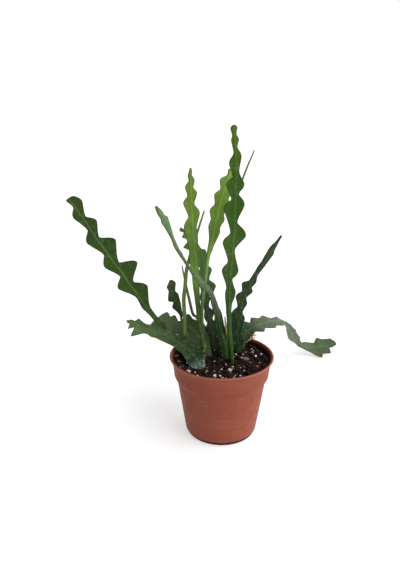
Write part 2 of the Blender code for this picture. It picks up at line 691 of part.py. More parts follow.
def build_soil():
    peat = material("soil_peat", (0.020, 0.013, 0.011), 0.95)
    points, faces = soil_mesh()
    soil = add_object("soil", points, faces, peat)
    draw = random.Random(41)
    crumbs = []
    spots = []
    while len(crumbs) < CRUMB_COUNT:
        radius = (inner_radius(SOIL_Z) - 5) * math.sqrt(draw.random())
        angle = draw.uniform(0, 2 * math.pi)
        x, y = radius * math.cos(angle), radius * math.sin(angle)
        clear_of_others = all(math.hypot(x - a, y - b) > 3.0 for a, b in spots)
        if stem_clearance(x, y) < 15 or not clear_of_others:
            continue
        spots.append((x, y))
        crumbs.append(crumb(draw, x, y))
    boolean(soil, "UNION", tools=tool_collection("crumb", crumbs))
    holes = []
    for stem in STEMS.values():
        if "grows_from" in stem:
            continue
        x, y, _ = stem["route"][0]
        wide = stem.get("base_half", ROUND_FLAT * stem["stalk"]) + HOLE_ROOM
        deep = stem["stalk"] + HOLE_ROOM
        holes.append(prism((x, y), wide / 0.9, deep / 0.9, HOLE_FLOOR_Z, SOIL_Z + 9, 12, stem["face"][0][0]))
    boolean(soil, "DIFFERENCE", tools=tool_collection("hole", holes))
    return soil


def main():
    start_empty()
    build_pot()
    build_stems()
    build_soil()


main()
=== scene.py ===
# %% [markdown]
# # A potted fishbone cactus
#
# A fishbone cactus has no leaves. Its stems are flattened into long green straps, and both margins run out
# into rounded lobes with a small felted cushion, the areole, in each bay between them. New shoots start as
# thin round quills and only widen later. This plant stands in a plain moulded nursery pot filled with peat.
#
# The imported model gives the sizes. Each plain solid in it is replaced here by a finer piece of the same
# form. Peat lumps, perlite, bark chips, areoles, wool, dried husks and all colour are added.

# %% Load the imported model
import json
import math
import random

import bmesh
import bpy
import numpy as np
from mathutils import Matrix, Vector, noise

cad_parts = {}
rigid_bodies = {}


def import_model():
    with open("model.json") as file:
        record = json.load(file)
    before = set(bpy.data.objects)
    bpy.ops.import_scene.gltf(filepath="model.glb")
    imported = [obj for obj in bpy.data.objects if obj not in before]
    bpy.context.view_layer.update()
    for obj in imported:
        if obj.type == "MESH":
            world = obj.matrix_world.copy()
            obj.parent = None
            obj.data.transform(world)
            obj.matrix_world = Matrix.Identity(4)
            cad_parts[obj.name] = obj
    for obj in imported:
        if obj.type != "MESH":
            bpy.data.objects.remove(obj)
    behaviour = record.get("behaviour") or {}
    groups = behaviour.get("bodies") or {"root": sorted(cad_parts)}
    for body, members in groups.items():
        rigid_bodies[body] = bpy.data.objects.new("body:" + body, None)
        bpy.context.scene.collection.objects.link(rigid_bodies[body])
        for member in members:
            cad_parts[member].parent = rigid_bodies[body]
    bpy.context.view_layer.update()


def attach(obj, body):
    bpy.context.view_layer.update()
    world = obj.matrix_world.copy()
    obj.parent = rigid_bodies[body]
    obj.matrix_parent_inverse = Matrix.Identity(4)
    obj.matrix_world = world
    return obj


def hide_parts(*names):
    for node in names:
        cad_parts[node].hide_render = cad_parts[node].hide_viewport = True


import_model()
scene = bpy.context.scene
MM = 0.001


def in_scene(name, data):
    """A new object in the scene."""
    thing = bpy.data.objects.new(name, data)
    scene.collection.objects.link(thing)
    return thing


# %% [markdown]
# ## The view
#
# The photograph was taken from a little above the pot, with the pot slightly right of the middle. The lens
# and the place of the camera were worked out from the pot's lip and foot, which are two circles of known
# size. A lens is given to Blender as a focal length over a film height.

# %% Camera
FILM_HEIGHT = 36.0
FRAME_HEIGHT_PX = 570
FOCAL_PX = 600.0
CAMERA_PLACE = (-0.0249, -0.6284, 0.4009)
DEGREES_DOWN = 19.2
camera_data = bpy.data.cameras.new("view_camera")
camera_data.sensor_fit = "VERTICAL"
camera_data.sensor_height = FILM_HEIGHT
camera_data.lens = FOCAL_PX / FRAME_HEIGHT_PX * FILM_HEIGHT
scene.camera = in_scene("view_camera", camera_data)
scene.camera.location = CAMERA_PLACE
scene.camera.rotation_euler = (math.radians(90 - DEGREES_DOWN), 0, 0)
print("lens:", round(camera_data.lens, 1), "mm")

# %% [markdown]
# ## Mixing a finish
#
# Every finish here starts from the same shader. Its colour is built up in layers: each one is laid over the
# colour so far where a noise, set in millimetres, passes a threshold. The helpers below keep that short.
# Colours are written as they look on a screen, from 0 to 255, and are turned into the linear values that the
# shader wants.

# %% Helpers for finishes
WHITE = (1, 1, 1, 1)


def screen_colour(r, g, b):
    def linear(c):
        c = c / 255
        return c / 12.92 if c <= 0.04045 else ((c + 0.055) / 1.055) ** 2.4
    return (linear(r), linear(g), linear(b), 1.0)


class Nodes:
    """A node tree in the making."""

    def __init__(self, tree):
        self.nodes, self.links = tree.nodes, tree.links

    def put(self, value, socket):
        """Links an output to a socket, or sets the socket to a plain value."""
        if isinstance(value, bpy.types.NodeSocket):
            self.links.new(value, socket)
        else:
            socket.default_value = value

    def add(self, kind, output, inputs=None, **settings):
        """Adds a node, sets it up, fills its inputs and returns one of its outputs."""
        node = self.nodes.new("ShaderNode" + kind)
        for name, value in settings.items():
            setattr(node, name, value)
        for name, value in (inputs or {}).items():
            self.put(value, node.inputs[name])
        return node.outputs[output]

    def maths(self, operation, first, second):
        return self.add("Math", 0, {0: first, 1: second}, operation=operation)

    def ramp(self, value, low, high, to_low, to_high):
        """A soft step from to_low to to_high as value goes from low to high."""
        inputs = {"Value": value, "From Min": low, "From Max": high, "To Min": to_low, "To Max": to_high}
        return self.add("MapRange", "Result", inputs, interpolation_type="SMOOTHSTEP")


class Finish(Nodes):
    """A material in the making: its shader, its colour so far and the place that its noise is read from."""

    def __init__(self, name, specular, roughness=0.5):
        self.material = bpy.data.materials.new(name)
        self.material.use_nodes = True
        super().__init__(self.material.node_tree)
        self.shader = self.nodes["Principled BSDF"].inputs
        self.put(roughness, self.shader["Roughness"])
        self.put(specular, self.shader["Specular IOR Level"])
        self.place = self.add("TexCoord", "Object")

    def grain(self, size_mm, detail, roughness=0.55, stretch=None):
        """Noise from 0 to 1 with features of about size_mm, finer along the axes that stretch enlarges."""
        place = self.place
        if stretch:
            place = self.add("VectorMath", 0, {0: place, 1: stretch}, operation="MULTIPLY")
        return self.add("TexNoise", "Fac", {"Vector": place, "Scale": 1 / (size_mm * MM), "Detail": detail,
                                            "Roughness": roughness})

    def patches(self, size_mm, detail, low, high, to_low, to_high, **look):
        """Noise as a soft step: to_low where it is under low, to_high where it is over high."""
        return self.ramp(self.grain(size_mm, detail, **look), low, high, to_low, to_high)

    def spots(self, size_mm, inner, outer, strength):
        """Scattered round spots, size_mm apart, of full strength within inner and gone beyond outer."""
        spot = self.add("TexVoronoi", "Distance", {"Vector": self.place, "Scale": 1 / (size_mm * MM)})
        return self.ramp(spot, inner, outer, strength, 0.0)

    def marked(self, name):
        """A value that the mesh carries from point to point."""
        return self.add("Attribute", "Fac", attribute_name=name)

    def mix(self, share, first, second):
        """A colour that goes from first to second as share goes from 0 to 1. A triple is a screen colour."""
        first, second = (screen_colour(*c) if isinstance(c, tuple) else c for c in (first, second))
        return self.add("Mix", "Result", {"Factor": share, "A": first, "B": second}, data_type="RGBA")

    def stops(self, value, places):
        """A colour that runs through several stops, each (place from 0 to 1, screen colour)."""
        node = self.nodes.new("ShaderNodeValToRGB")
        node.color_ramp.interpolation = "EASE"
        stops = node.color_ramp.elements
        stops.remove(stops[1])
        stops[0].position, stops[0].color = places[0][0], screen_colour(*places[0][1])
        for place, colour in places[1:]:
            stops.new(place).color = screen_colour(*colour)
        self.put(value, node.inputs["Fac"])
        return node.outputs["Color"]

    def paint(self, colour):
        """Starts the colour, or replaces it."""
        self.base = colour
        self.put(colour, self.shader["Base Color"])

    def lay(self, share, colour):
        """Lays a colour over the colour so far, as strongly as share says."""
        self.paint(self.mix(share, self.base, colour))

    def bump(self, depth_mm, size_mm, detail, **look):
        """Adds relief to the relief so far."""
        inputs = {"Distance": depth_mm * MM, "Height": self.grain(size_mm, detail, **look)}
        before = self.shader["Normal"].links
        if before:
            inputs["Normal"] = before[0].from_socket
        self.put(self.add("Bump", "Normal", inputs), self.shader["Normal"])


def chalky(name, low, high, grain_mm):
    """A dry, matt finish that wavers between two colours."""
    made = Finish(name, specular=0.25, roughness=0.85)
    made.paint(made.mix(made.grain(grain_mm, 4), low, high))
    made.bump(0.25, 0.35, 3)
    return made.material


def add_piece(name, points_mm, faces, finish, slot, replaces=(), marks=None):
    """A mesh from points in millimetres, that rides on the pot's body and stands for the nodes named."""
    mesh = bpy.data.meshes.new(name)
    mesh.from_pydata([tuple(float(c) * MM for c in p) for p in points_mm], [], faces)
    mesh.materials.append(finish)
    for mark, values in (marks or {}).items():
        layer = mesh.attributes.new(mark, "FLOAT", "POINT")
        layer.data.foreach_set("value", np.asarray(values, np.float32))
    mesh.shade_smooth()
    piece = in_scene(name, mesh)
    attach(piece, "root")
    if replaces:
        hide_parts(*replaces)
    return piece


print("helpers ready for", [c.__name__ for c in (Nodes, Finish)])

# %% [markdown]
# ## Light and floor
#
# The plant stands on a white sweep under large soft lamps. A bright band round the horizon stands for the
# white walls of the studio, a dimmer dome above it keeps some shade between the stems, and the left and the
# front are kept dark, as they would be with black cards there. Two very soft lamps on the right, a strong
# one in front and a weak one at the back, give the form. The sweep glows a little, as if lit from below, so
# that the shadows on it stay pale. The camera itself sees plain white paper all round, which is done with a
# second background that only the camera's own rays meet.

# %% Floor and world
FLOOR_REACH = 6.0
FLOOR_GREY = (0.52, 0.52, 0.52, 1)
FLOOR_GLOW = 0.6


def add_floor():
    mesh = bpy.data.meshes.new("floor")
    corners = [(x * FLOOR_REACH, y * FLOOR_REACH, 0) for x, y in ((-1, -1), (1, -1), (1, 1), (-1, 1))]
    mesh.from_pydata(corners, [], [(0, 1, 2, 3)])
    made = Finish("white_sweep", specular=0.1, roughness=0.9)
    made.paint(FLOOR_GREY)
    made.put(WHITE, made.shader["Emission Color"])
    made.put(FLOOR_GLOW, made.shader["Emission Strength"])
    mesh.materials.append(made.material)
    floor = in_scene("floor", mesh)


def light_world(band, dome, left, right, front):
    """A bright band round the horizon under a dome, with its own brightness on three of the sides."""
    world = bpy.data.worlds.new("studio")
    world.use_nodes = True
    scene.world = world
    made = Nodes(world.node_tree)
    direction = made.add("TexCoord", "Generated")
    strength = 1.0
    for axis, low, high, to_low, to_high in (("Z", 0.16, 0.5, band, dome), ("X", -0.75, -0.34, left, 1.0),
                                             ("X", 0.4, 0.95, 1.0, right), ("Y", -0.3, 0.6, front, 1.0)):
        along = made.add("SeparateXYZ", axis, {0: direction})
        strength = made.maths("MULTIPLY", strength, made.ramp(along, low, high, to_low, to_high))
    lit = made.nodes["Background"]
    made.put(WHITE, lit.inputs["Color"])
    made.put(strength, lit.inputs["Strength"])
    paper = made.add("Background", 0, {"Color": WHITE, "Strength": 1.0})
    camera_ray = made.add("LightPath", "Is Camera Ray")
    seen = made.add("MixShader", 0, {"Fac": camera_ray, 1: lit.outputs[0], 2: paper})
    made.put(seen, made.nodes["World Output"].inputs["Surface"])


def add_sun(name, strength, softness, azimuth, elevation):
    data = bpy.data.lights.new(name, "SUN")
    data.energy = strength
    data.angle = math.radians(softness)
    a, e = math.radians(azimuth), math.radians(elevation)
    towards = Vector((math.sin(a) * math.cos(e), math.cos(a) * math.cos(e), math.sin(e)))
    in_scene(name, data).rotation_euler = towards.to_track_quat("Z", "Y").to_euler()


scene.view_settings.view_transform = "Standard"
add_floor()
light_world(band=1.02, dome=0.5, left=0.0, right=1.8, front=0.25)
add_sun("soft_back_right", strength=0.9, softness=70, azimuth=50, elevation=55)
add_sun("soft_front_right", strength=2.68, softness=55, azimuth=125, elevation=42)

# %% [markdown]
# ## The pot
#
# The pot is one thin moulding: a lip turned out, a deep collar, a small step, a tapered body and a foot with
# rounded corners. Its underside has a raised channel with drain holes, so that water gets out. A turned
# form is drawn once as a profile of radius and height and spun round the axis. The drain holes are cut with
# one Boolean, from a collection of plain pins.

# %% Pot form
POT_HEIGHT = 97.0
LIP_RADIUS = 60.0
LIP_ROUND = 0.9
COLLAR_TOP_RADIUS = 57.2
COLLAR_FOOT_RADIUS = 54.8
COLLAR_FOOT_Z = 74.0
STEP_FOOT_Z = 67.0
STEP_SPAN = (COLLAR_FOOT_Z + 1, STEP_FOOT_Z - 0.8)
BODY_TOP_RADIUS = 51.2
BODY_FOOT_RADIUS = 40.9
FOOT_ROUND = 5.0
INNER_FOOT_ROUND = 1.8
WALL = 1.3
POT_FLOOR_TOP = 3.4
POT_TURNS = 192
DRAIN_HOLES = 8
DRAIN_HOLE_RADIUS = 4
DRAIN_RING_RADIUS = 22
PIN_LENGTH = 12
PIN_MIDDLE_Z = 2
SHARP_DEGREES = 40


def circle(radius, height, turns):
    """Points of a level circle round the axis."""
    angles = [2 * math.pi * k / turns for k in range(turns)]
    return [(radius * math.cos(a), radius * math.sin(a), height) for a in angles]


def bands(rows, flip=False):
    """Faces between each ring of point numbers and the next. A pole is a ring of one repeated number."""
    faces = []
    for upper, lower in zip(rows, rows[1:]):
        for k in range(len(upper)):
            n = (k + 1) % len(upper)
            corners = list(dict.fromkeys((upper[k], lower[k], lower[n], upper[n])))
            if len(corners) > 2:
                faces.append(corners[:1] + corners[:0:-1] if flip else corners)
    return faces


def arc(centre, radius, start, end, steps):
    """Points of a circular arc in the profile's plane, from start to end in degrees."""
    angles = [math.radians(start + (end - start) * k / steps) for k in range(steps + 1)]
    return [(centre[0] + radius * math.cos(a), centre[1] + radius * math.sin(a)) for a in angles]


def wall_radius(height):
    """The outer wall's radius at a height, without the lip."""
    if height >= COLLAR_FOOT_Z:
        share = (height - COLLAR_FOOT_Z) / (POT_HEIGHT - COLLAR_FOOT_Z)
        return COLLAR_FOOT_RADIUS + share * (COLLAR_TOP_RADIUS - COLLAR_FOOT_RADIUS)
    share = min(height, STEP_FOOT_Z) / STEP_FOOT_Z
    return BODY_FOOT_RADIUS + share * (BODY_TOP_RADIUS - BODY_FOOT_RADIUS)


def pot_profile():
    """The pot's outline: over the lip, down the outside, under the foot, and up the inside."""
    step_top, step_end = STEP_SPAN
    profile = [(57.1, 95.6), (57.7, 96.5), (58.4, 96.95)]
    profile += arc((LIP_RADIUS - LIP_ROUND, POT_HEIGHT - LIP_ROUND), LIP_ROUND, 85, -75, 8)
    profile += [(58.7, 94.7), (58.0, 93.7), (57.5, 92.4)]
    profile += [(wall_radius(h), h) for h in np.linspace(90.5, step_top, 9)]
    for share in (k / 10 for k in range(1, 10)):
        ease = share * share * (3 - 2 * share)
        radius = COLLAR_FOOT_RADIUS - ease * (COLLAR_FOOT_RADIUS - BODY_TOP_RADIUS)
        profile.append((radius, step_top - share * (step_top - step_end)))
    profile += [(wall_radius(h), h) for h in np.linspace(step_end, FOOT_ROUND + 1, 14)]
    profile += arc((BODY_FOOT_RADIUS - FOOT_ROUND, FOOT_ROUND), FOOT_ROUND, 0, -90, 10)
    profile += [(31.9, 0.0), (31.5, 0.2), (31.1, 1.0), (30.8, 1.2), (13.2, 1.2), (12.9, 1.0), (12.5, 0.2),
                (12.1, 0.0), (0.0, 0.0), (0.0, POT_FLOOR_TOP)]
    floor_edge = wall_radius(POT_FLOOR_TOP) - WALL
    corner = (floor_edge - INNER_FOOT_ROUND + 0.2, POT_FLOOR_TOP + INNER_FOOT_ROUND)
    profile += [(floor_edge - INNER_FOOT_ROUND, POT_FLOOR_TOP)] + arc(corner, INNER_FOOT_ROUND, -90, 0, 4)
    profile += [(BODY_TOP_RADIUS - WALL, STEP_FOOT_Z - 0.4), (COLLAR_FOOT_RADIUS - WALL, COLLAR_FOOT_Z + 0.6)]
    profile += [(wall_radius(h) - WALL, h) for h in np.linspace(COLLAR_FOOT_Z + 4, 92.0, 6)]
    return profile + [(56.2, 93.8)]


def turned(profile, turns):
    """Points and faces of a closed body turned round Z. A pair at radius 0 is a pole."""
    points, rows = [], []
    for radius, height in profile:
        ring = circle(radius, height, turns) if radius else [(0, 0, height)]
        numbers = list(range(len(points), len(points) + len(ring)))
        rows.append(numbers if radius else numbers * turns)
        points += ring
    return points, bands(rows + rows[:1])


def drain_pins():
    """Pins for the drain holes, in a collection for one Boolean."""
    pins = bpy.data.collections.new("drain_pins")
    scene.collection.children.link(pins)
    mesh, shape = bpy.data.meshes.new("drain_pin"), bmesh.new()
    radius, ring = DRAIN_HOLE_RADIUS * MM, DRAIN_RING_RADIUS * MM
    bmesh.ops.create_cone(shape, cap_ends=True, segments=32, radius1=radius, radius2=radius,
                          depth=PIN_LENGTH * MM)
    shape.to_mesh(mesh)
    shape.free()
    for k in range(DRAIN_HOLES):
        angle = 2 * math.pi * (k + 0.5) / DRAIN_HOLES
        pin = bpy.data.objects.new("drain_pin", mesh)
        pin.location = (ring * math.cos(angle), ring * math.sin(angle), PIN_MIDDLE_Z * MM)
        pins.objects.link(pin)
    return pins


def cut_with(piece, tools):
    """Cuts the collection's solids out of the piece and removes them."""
    cut = piece.modifiers.new("cut", "BOOLEAN")
    cut.operation = "DIFFERENCE"
    cut.solver = "EXACT"
    cut.operand_type = "COLLECTION"
    cut.collection = tools
    bpy.context.view_layer.update()
    mesh = bpy.data.meshes.new_from_object(piece.evaluated_get(bpy.context.evaluated_depsgraph_get()))
    piece.modifiers.clear()
    piece.data = mesh
    for tool in list(tools.objects):
        bpy.data.objects.remove(tool, do_unlink=True)
    bpy.data.collections.remove(tools)


pot_points, pot_faces = turned(pot_profile(), POT_TURNS)
print("pot profile turned into", len(pot_faces), "faces")

# %% [markdown]
# ## Terracotta-coloured plastic
#
# The plastic is matt and a little chalky. Handling has left pale scuffs, scratches and specks of dust, and
# the colour is slightly uneven in level bands from the moulding. The mesh carries three marks from point to
# point: where the inside of the wall is darkened below the lip, where a painted highlight runs along the
# lip's outer edge, and where painted shade lies in the step under the collar.

# %% Pot finish and piece
DARK_INSIDE_TOP = 96.2
DARK_INSIDE_FADE = 2.2
LIP_ZONE = 94
EDGE_HIGHLIGHT_WIDTH = 0.8


def terracotta_plastic():
    made = Finish("terracotta_plastic", specular=0.14)
    made.paint(made.mix(made.grain(22, 2), (133, 66, 47), (145, 76, 56)))
    streaks = made.patches(9, 4, 0.45, 0.75, 0.0, 0.3, stretch=(0.12, 0.12, 1.6))
    made.lay(streaks, (160, 92, 72))
    scuffs = made.patches(3.2, 6, 0.64, 0.76, 0.0, 0.4, roughness=0.7, stretch=(1, 1, 0.5))
    made.lay(scuffs, (186, 128, 110))
    specks = made.spots(5.0, 0.04, 0.08, 0.5)
    made.lay(specks, (206, 168, 150))
    stains = made.patches(14, 5, 0.56, 0.72, 0.0, 0.3)
    made.lay(stains, (112, 56, 44))
    scratches = made.patches(7, 5, 0.62, 0.68, 0.0, 0.35, roughness=0.8, stretch=(0.2, 0.2, 6))
    made.lay(scratches, (200, 150, 132))
    # Painted shade in the step under the collar, broken up by noise.
    painted_step_shade = made.maths("MULTIPLY", made.marked("shade_under_collar"), made.patches(12, 3, 0.2, 0.8, 0.4, 0.6))
    made.lay(painted_step_shade, (126, 54, 32))
    # A painted highlight along the lip's outer edge.
    edge_highlight = made.ramp(made.marked("lip_edge_highlight"), 0.2, 1.0, 0.0, 0.55)
    made.lay(edge_highlight, (176, 112, 96))
    # The inside of the wall is darkened below the lip, in patches.
    darker_inside = made.maths("MULTIPLY", made.marked("inside"), made.patches(5, 5, 0.25, 0.6, 0.8, 1.0))
    made.lay(darker_inside, (40, 20, 20))
    made.put(made.patches(5, 4, 0.35, 0.7, 0.5, 0.72), made.shader["Roughness"])
    made.bump(0.06, 0.7, 2)
    made.bump(0.25, 16, 2, stretch=(0.3, 0.3, 1))
    return made.material


def pot_marks(points):
    """How strongly each of the three marks holds at each point of the pot."""
    inside, edge_highlight, under = [], [], []
    step_top, step_end = STEP_SPAN
    for x, y, z in points:
        radius = math.hypot(x, y)
        hidden = radius < wall_radius(z) - 0.4 and z > 1.5
        # Darker inside the wall, fading in just below the lip.
        inside_darkening = min(1.0, max(0.0, (DARK_INSIDE_TOP - z) / DARK_INSIDE_FADE))
        inside.append(inside_darkening if hidden or (radius < COLLAR_TOP_RADIUS + 0.2 and z > LIP_ZONE - 1) else 0.0)
        # A narrow ring on the lip's outer edge, where the painted highlight goes.
        edge_highlight.append(max(0.0, 1 - abs(radius - LIP_RADIUS) / EDGE_HIGHLIGHT_WIDTH) if z > LIP_ZONE else 0.0)
        # The step under the collar, strongest midway down it, where painted shade is laid.
        share = (step_top - z) / (step_top - step_end)
        under.append(4 * share * (1 - share) if 0 < share < 1 and not hidden else 0.0)
    return {"inside": inside, "lip_edge_highlight": edge_highlight, "shade_under_collar": under}


pot = add_piece("pot_shell", pot_points, pot_faces, terracotta_plastic(), "pot", replaces=["pot"],
                marks=pot_marks(pot_points))
cut_with(pot, drain_pins())
pot.data.shade_smooth()
pot.data.set_sharp_from_angle(angle=math.radians(SHARP_DEGREES))
print("pot shell:", len(pot.data.polygons), "faces")

# %% [markdown]
# ## The soil
#
# Peat mix is a mass of small lumps and fibres. The body of the soil fills the pot to its floor, and its
# surface is raised by several sizes of noise, one of them folded so that it makes rounded lumps.

# %% Soil form
SOIL_Z = 90.0
SOIL_RINGS = 120
SOIL_TURNS = 240
SOIL_GAP = 0.4
ROWS_BELOW = ((COLLAR_FOOT_Z + 1, 0), (STEP_FOOT_Z - 1, 0), (6.0, 0.4), (4.0, 2.2))


def swell(x, y, size, seed):
    """Smooth noise over the soil with waves of about that size."""
    return noise.noise(Vector((x / size, y / size, seed)))


def soil_height(x, y):
    height = SOIL_Z - 0.2 + 1.3 * swell(x, y, 14, 2.0) + 0.8 * swell(x, y, 4.2, 7.0)
    return height + 0.7 * (1 - abs(swell(x, y, 2.3, 11.0)) * 2) + 0.35 * swell(x, y, 0.9, 17.0)


def soil_body():
    """Rings from the middle of the surface outwards, then down the wall and in to the pot's floor."""
    outer = wall_radius(SOIL_Z) - WALL - SOIL_GAP
    points, rows = [(0, 0, soil_height(0, 0))], [[0] * SOIL_TURNS]
    for ring in range(1, SOIL_RINGS + 1):
        level = circle(outer * ring / SOIL_RINGS, SOIL_Z, SOIL_TURNS)
        points += [(x, y, soil_height(x, y)) for x, y, _ in level]
    for height, inset in ROWS_BELOW:
        points += circle(wall_radius(height) - WALL - SOIL_GAP - inset, height, SOIL_TURNS)
    rows += [list(range(start, start + SOIL_TURNS)) for start in range(1, len(points), SOIL_TURNS)]
    return points, bands(rows) + [rows[-1][::-1]]


def peat():
    made = Finish("peat", specular=0.15, roughness=0.95)
    made.paint(made.mix(made.grain(2.4, 6, roughness=0.7), (5, 3, 2), (48, 30, 26)))
    flecks = made.patches(0.9, 5, 0.58, 0.7, 0.0, 0.8, roughness=0.75)
    made.lay(flecks, (104, 74, 62))
    made.bump(0.5, 0.5, 5, roughness=0.7)
    return made.material


peat_finish = peat()
soil = add_piece("soil_body", *soil_body(), peat_finish, "soil", replaces=["soil"])
print("soil body:", len(soil.data.polygons), "faces")

# %% [markdown]
# ## Lumps, perlite and bark
#
# Loose lumps of peat, grains of perlite and flat brown chips of bark lie in the soil. Perlite is puffed
# volcanic glass: white, light, with a cratered surface. Each loose grain is a small ball pushed out of shape
# and part sunk in the surface. The larger perlite grains and bark chips are listed one by one where they
# show, each with its x, y and size, and the rest are scattered by a seeded draw.

# %% Loose grains
def spun(a, b, angle):
    """A pair of coordinates turned by an angle."""
    return a * math.cos(angle) - b * math.sin(angle), a * math.sin(angle) + b * math.cos(angle)


def grain_mesh(draw, centre, size, flatness, roughness, subdivisions=2):
    """Points and faces of one pebble: a ball of triangles with every point pushed in or out."""
    shape = bmesh.new()
    bmesh.ops.create_icosphere(shape, subdivisions=subdivisions, radius=1.0)
    seed = draw.uniform(0, 50)
    turn = draw.uniform(0, math.pi)
    tilt = draw.uniform(-0.5, 0.5)
    stretch = draw.uniform(0.75, 1.3)
    points = []
    for v in shape.verts:
        push = 1 + roughness * noise.noise(v.co * 1.7 + Vector((seed, 0, 0)))
        push += 0.4 * roughness * noise.noise(v.co * 4.5 + Vector((0, seed, 0)))
        p = Vector((v.co.x * stretch, v.co.y / stretch, v.co.z * flatness)) * push * size
        p = Vector((p.x, *spun(p.y, p.z, tilt)))
        p = Vector((*spun(p.x, p.y, turn), p.z))
        points.append(tuple(p + Vector(centre)))
    faces = [[v.index for v in f.verts] for f in shape.faces]
    shape.free()
    return points, faces


class Heap:
    """Several small closed bodies gathered into one mesh."""

    def __init__(self):
        self.points, self.faces = self.body = [], []

    def add(self, body):
        start = len(self.points)
        self.points.extend(body[0])
        self.faces.extend([start + i for i in face] for face in body[1])

    def drop(self, draw, x, y, rise, size, *form):
        """Adds a pebble on the soil, with its middle at rise above the surface."""
        self.add(grain_mesh(draw, (x, y, soil_height(x, y) + rise), size, *form))


def scattered(draw, count, edge=2.5):
    """Random places on the soil."""
    reach = wall_radius(SOIL_Z) - WALL - edge
    places = []
    for _ in range(count):
        radius, angle = reach * math.sqrt(draw.random()), draw.uniform(0, 2 * math.pi)
        places.append((radius * math.cos(angle), radius * math.sin(angle)))
    return places


LUMPS = 640
PERLITE = 170
BARK = 40
FINE_LUMP = 1.6
PERLITE_SEEN = [(-38, -30, 2.0), (-32, -17, 1.2), (-29, -24, 1.1), (-28, -41, 1.4), (-17, -29, 1.0),
                (-9, -29, 1.1), (-9, -42, 1.9), (-3, -42, 1.5), (0, -4, 1.4), (5, -12, 1.2), (8, -29, 2.1),
                (12, -19, 1.0), (17, 12, 1.3), (25, 12, 1.3), (32, 36, 1.3), (39, 24, 1.0), (40, 6, 1.5),
                (47, 14, 1.1), (32, -18, 1.1), (19, -41, 1.4), (12, -45, 1.0), (-19, -17, 0.9),
                (24, -27, 0.9), (48, -2, 1.0), (-25, -34, 0.9)]
BARK_SEEN = [(28, 1, 3.2), (40, -17, 2.9), (-2, -2, 1.6), (37, 20, 3.8), (-48, -2, 3.4), (-53, 9, 2.4),
             (19, -14, 2.0), (-15, -43, 1.8), (3, -45, 1.6), (28, -31, 1.8), (17, -4, 1.5)]

draw = random.Random(7)
lumps, perlite, bark = Heap(), Heap(), Heap()
for x, y in scattered(draw, LUMPS):
    size = 0.6 + 2.6 * draw.random() ** 3
    lumps.drop(draw, x, y, 0.25 * size, size, 0.7, 0.7, 1 if size < FINE_LUMP else 2)
for x, y, size in PERLITE_SEEN:
    perlite.drop(draw, x, y, 0.45 * size, size, 0.85, 0.5)
for x, y in scattered(draw, PERLITE):
    size = 0.2 + 0.9 * draw.random() ** 2
    perlite.drop(draw, x, y, 0.3 * size, size, 0.85, 0.5)
for x, y, size in BARK_SEEN + [(*p, draw.uniform(0.6, 1.9)) for p in scattered(draw, BARK)]:
    bark.drop(draw, x, y, 0.3, size, 0.28, 0.5)
perlite_finish = chalky("perlite_white", (176, 168, 160), (236, 232, 226), 1.2)
bark_finish = chalky("bark_brown", (62, 36, 28), (186, 150, 108), 2.5)
for name, heap, finish in (("peat_lumps", lumps, peat_finish), ("perlite_grains", perlite, perlite_finish),
                           ("bark_chips", bark, bark_finish)):
    add_piece(name, *heap.body, finish, "soil")
print("grains:", len(lumps.faces) + len(perlite.faces) + len(bark.faces), "faces")

# %% [markdown]
# ## The stems' lines
#
# A stem is laid out like a ship's hull. Its route is a smooth curve through a few points on the midrib, and
# its face says which way the flat side looks, in degrees round and up. The two margins are rows of lobes.
# Each lobe has four numbers: the place of the bay before it, the blade's half width in that bay, the place
# where the lobe stands out furthest, and its half width there. Places are counted along the stem, and all
# lengths are in millimetres. A shoot also says which stem it grows from, and where on which margin. A stem
# without lobes is a quill. The skin is a row of colours from the foot to the tip.

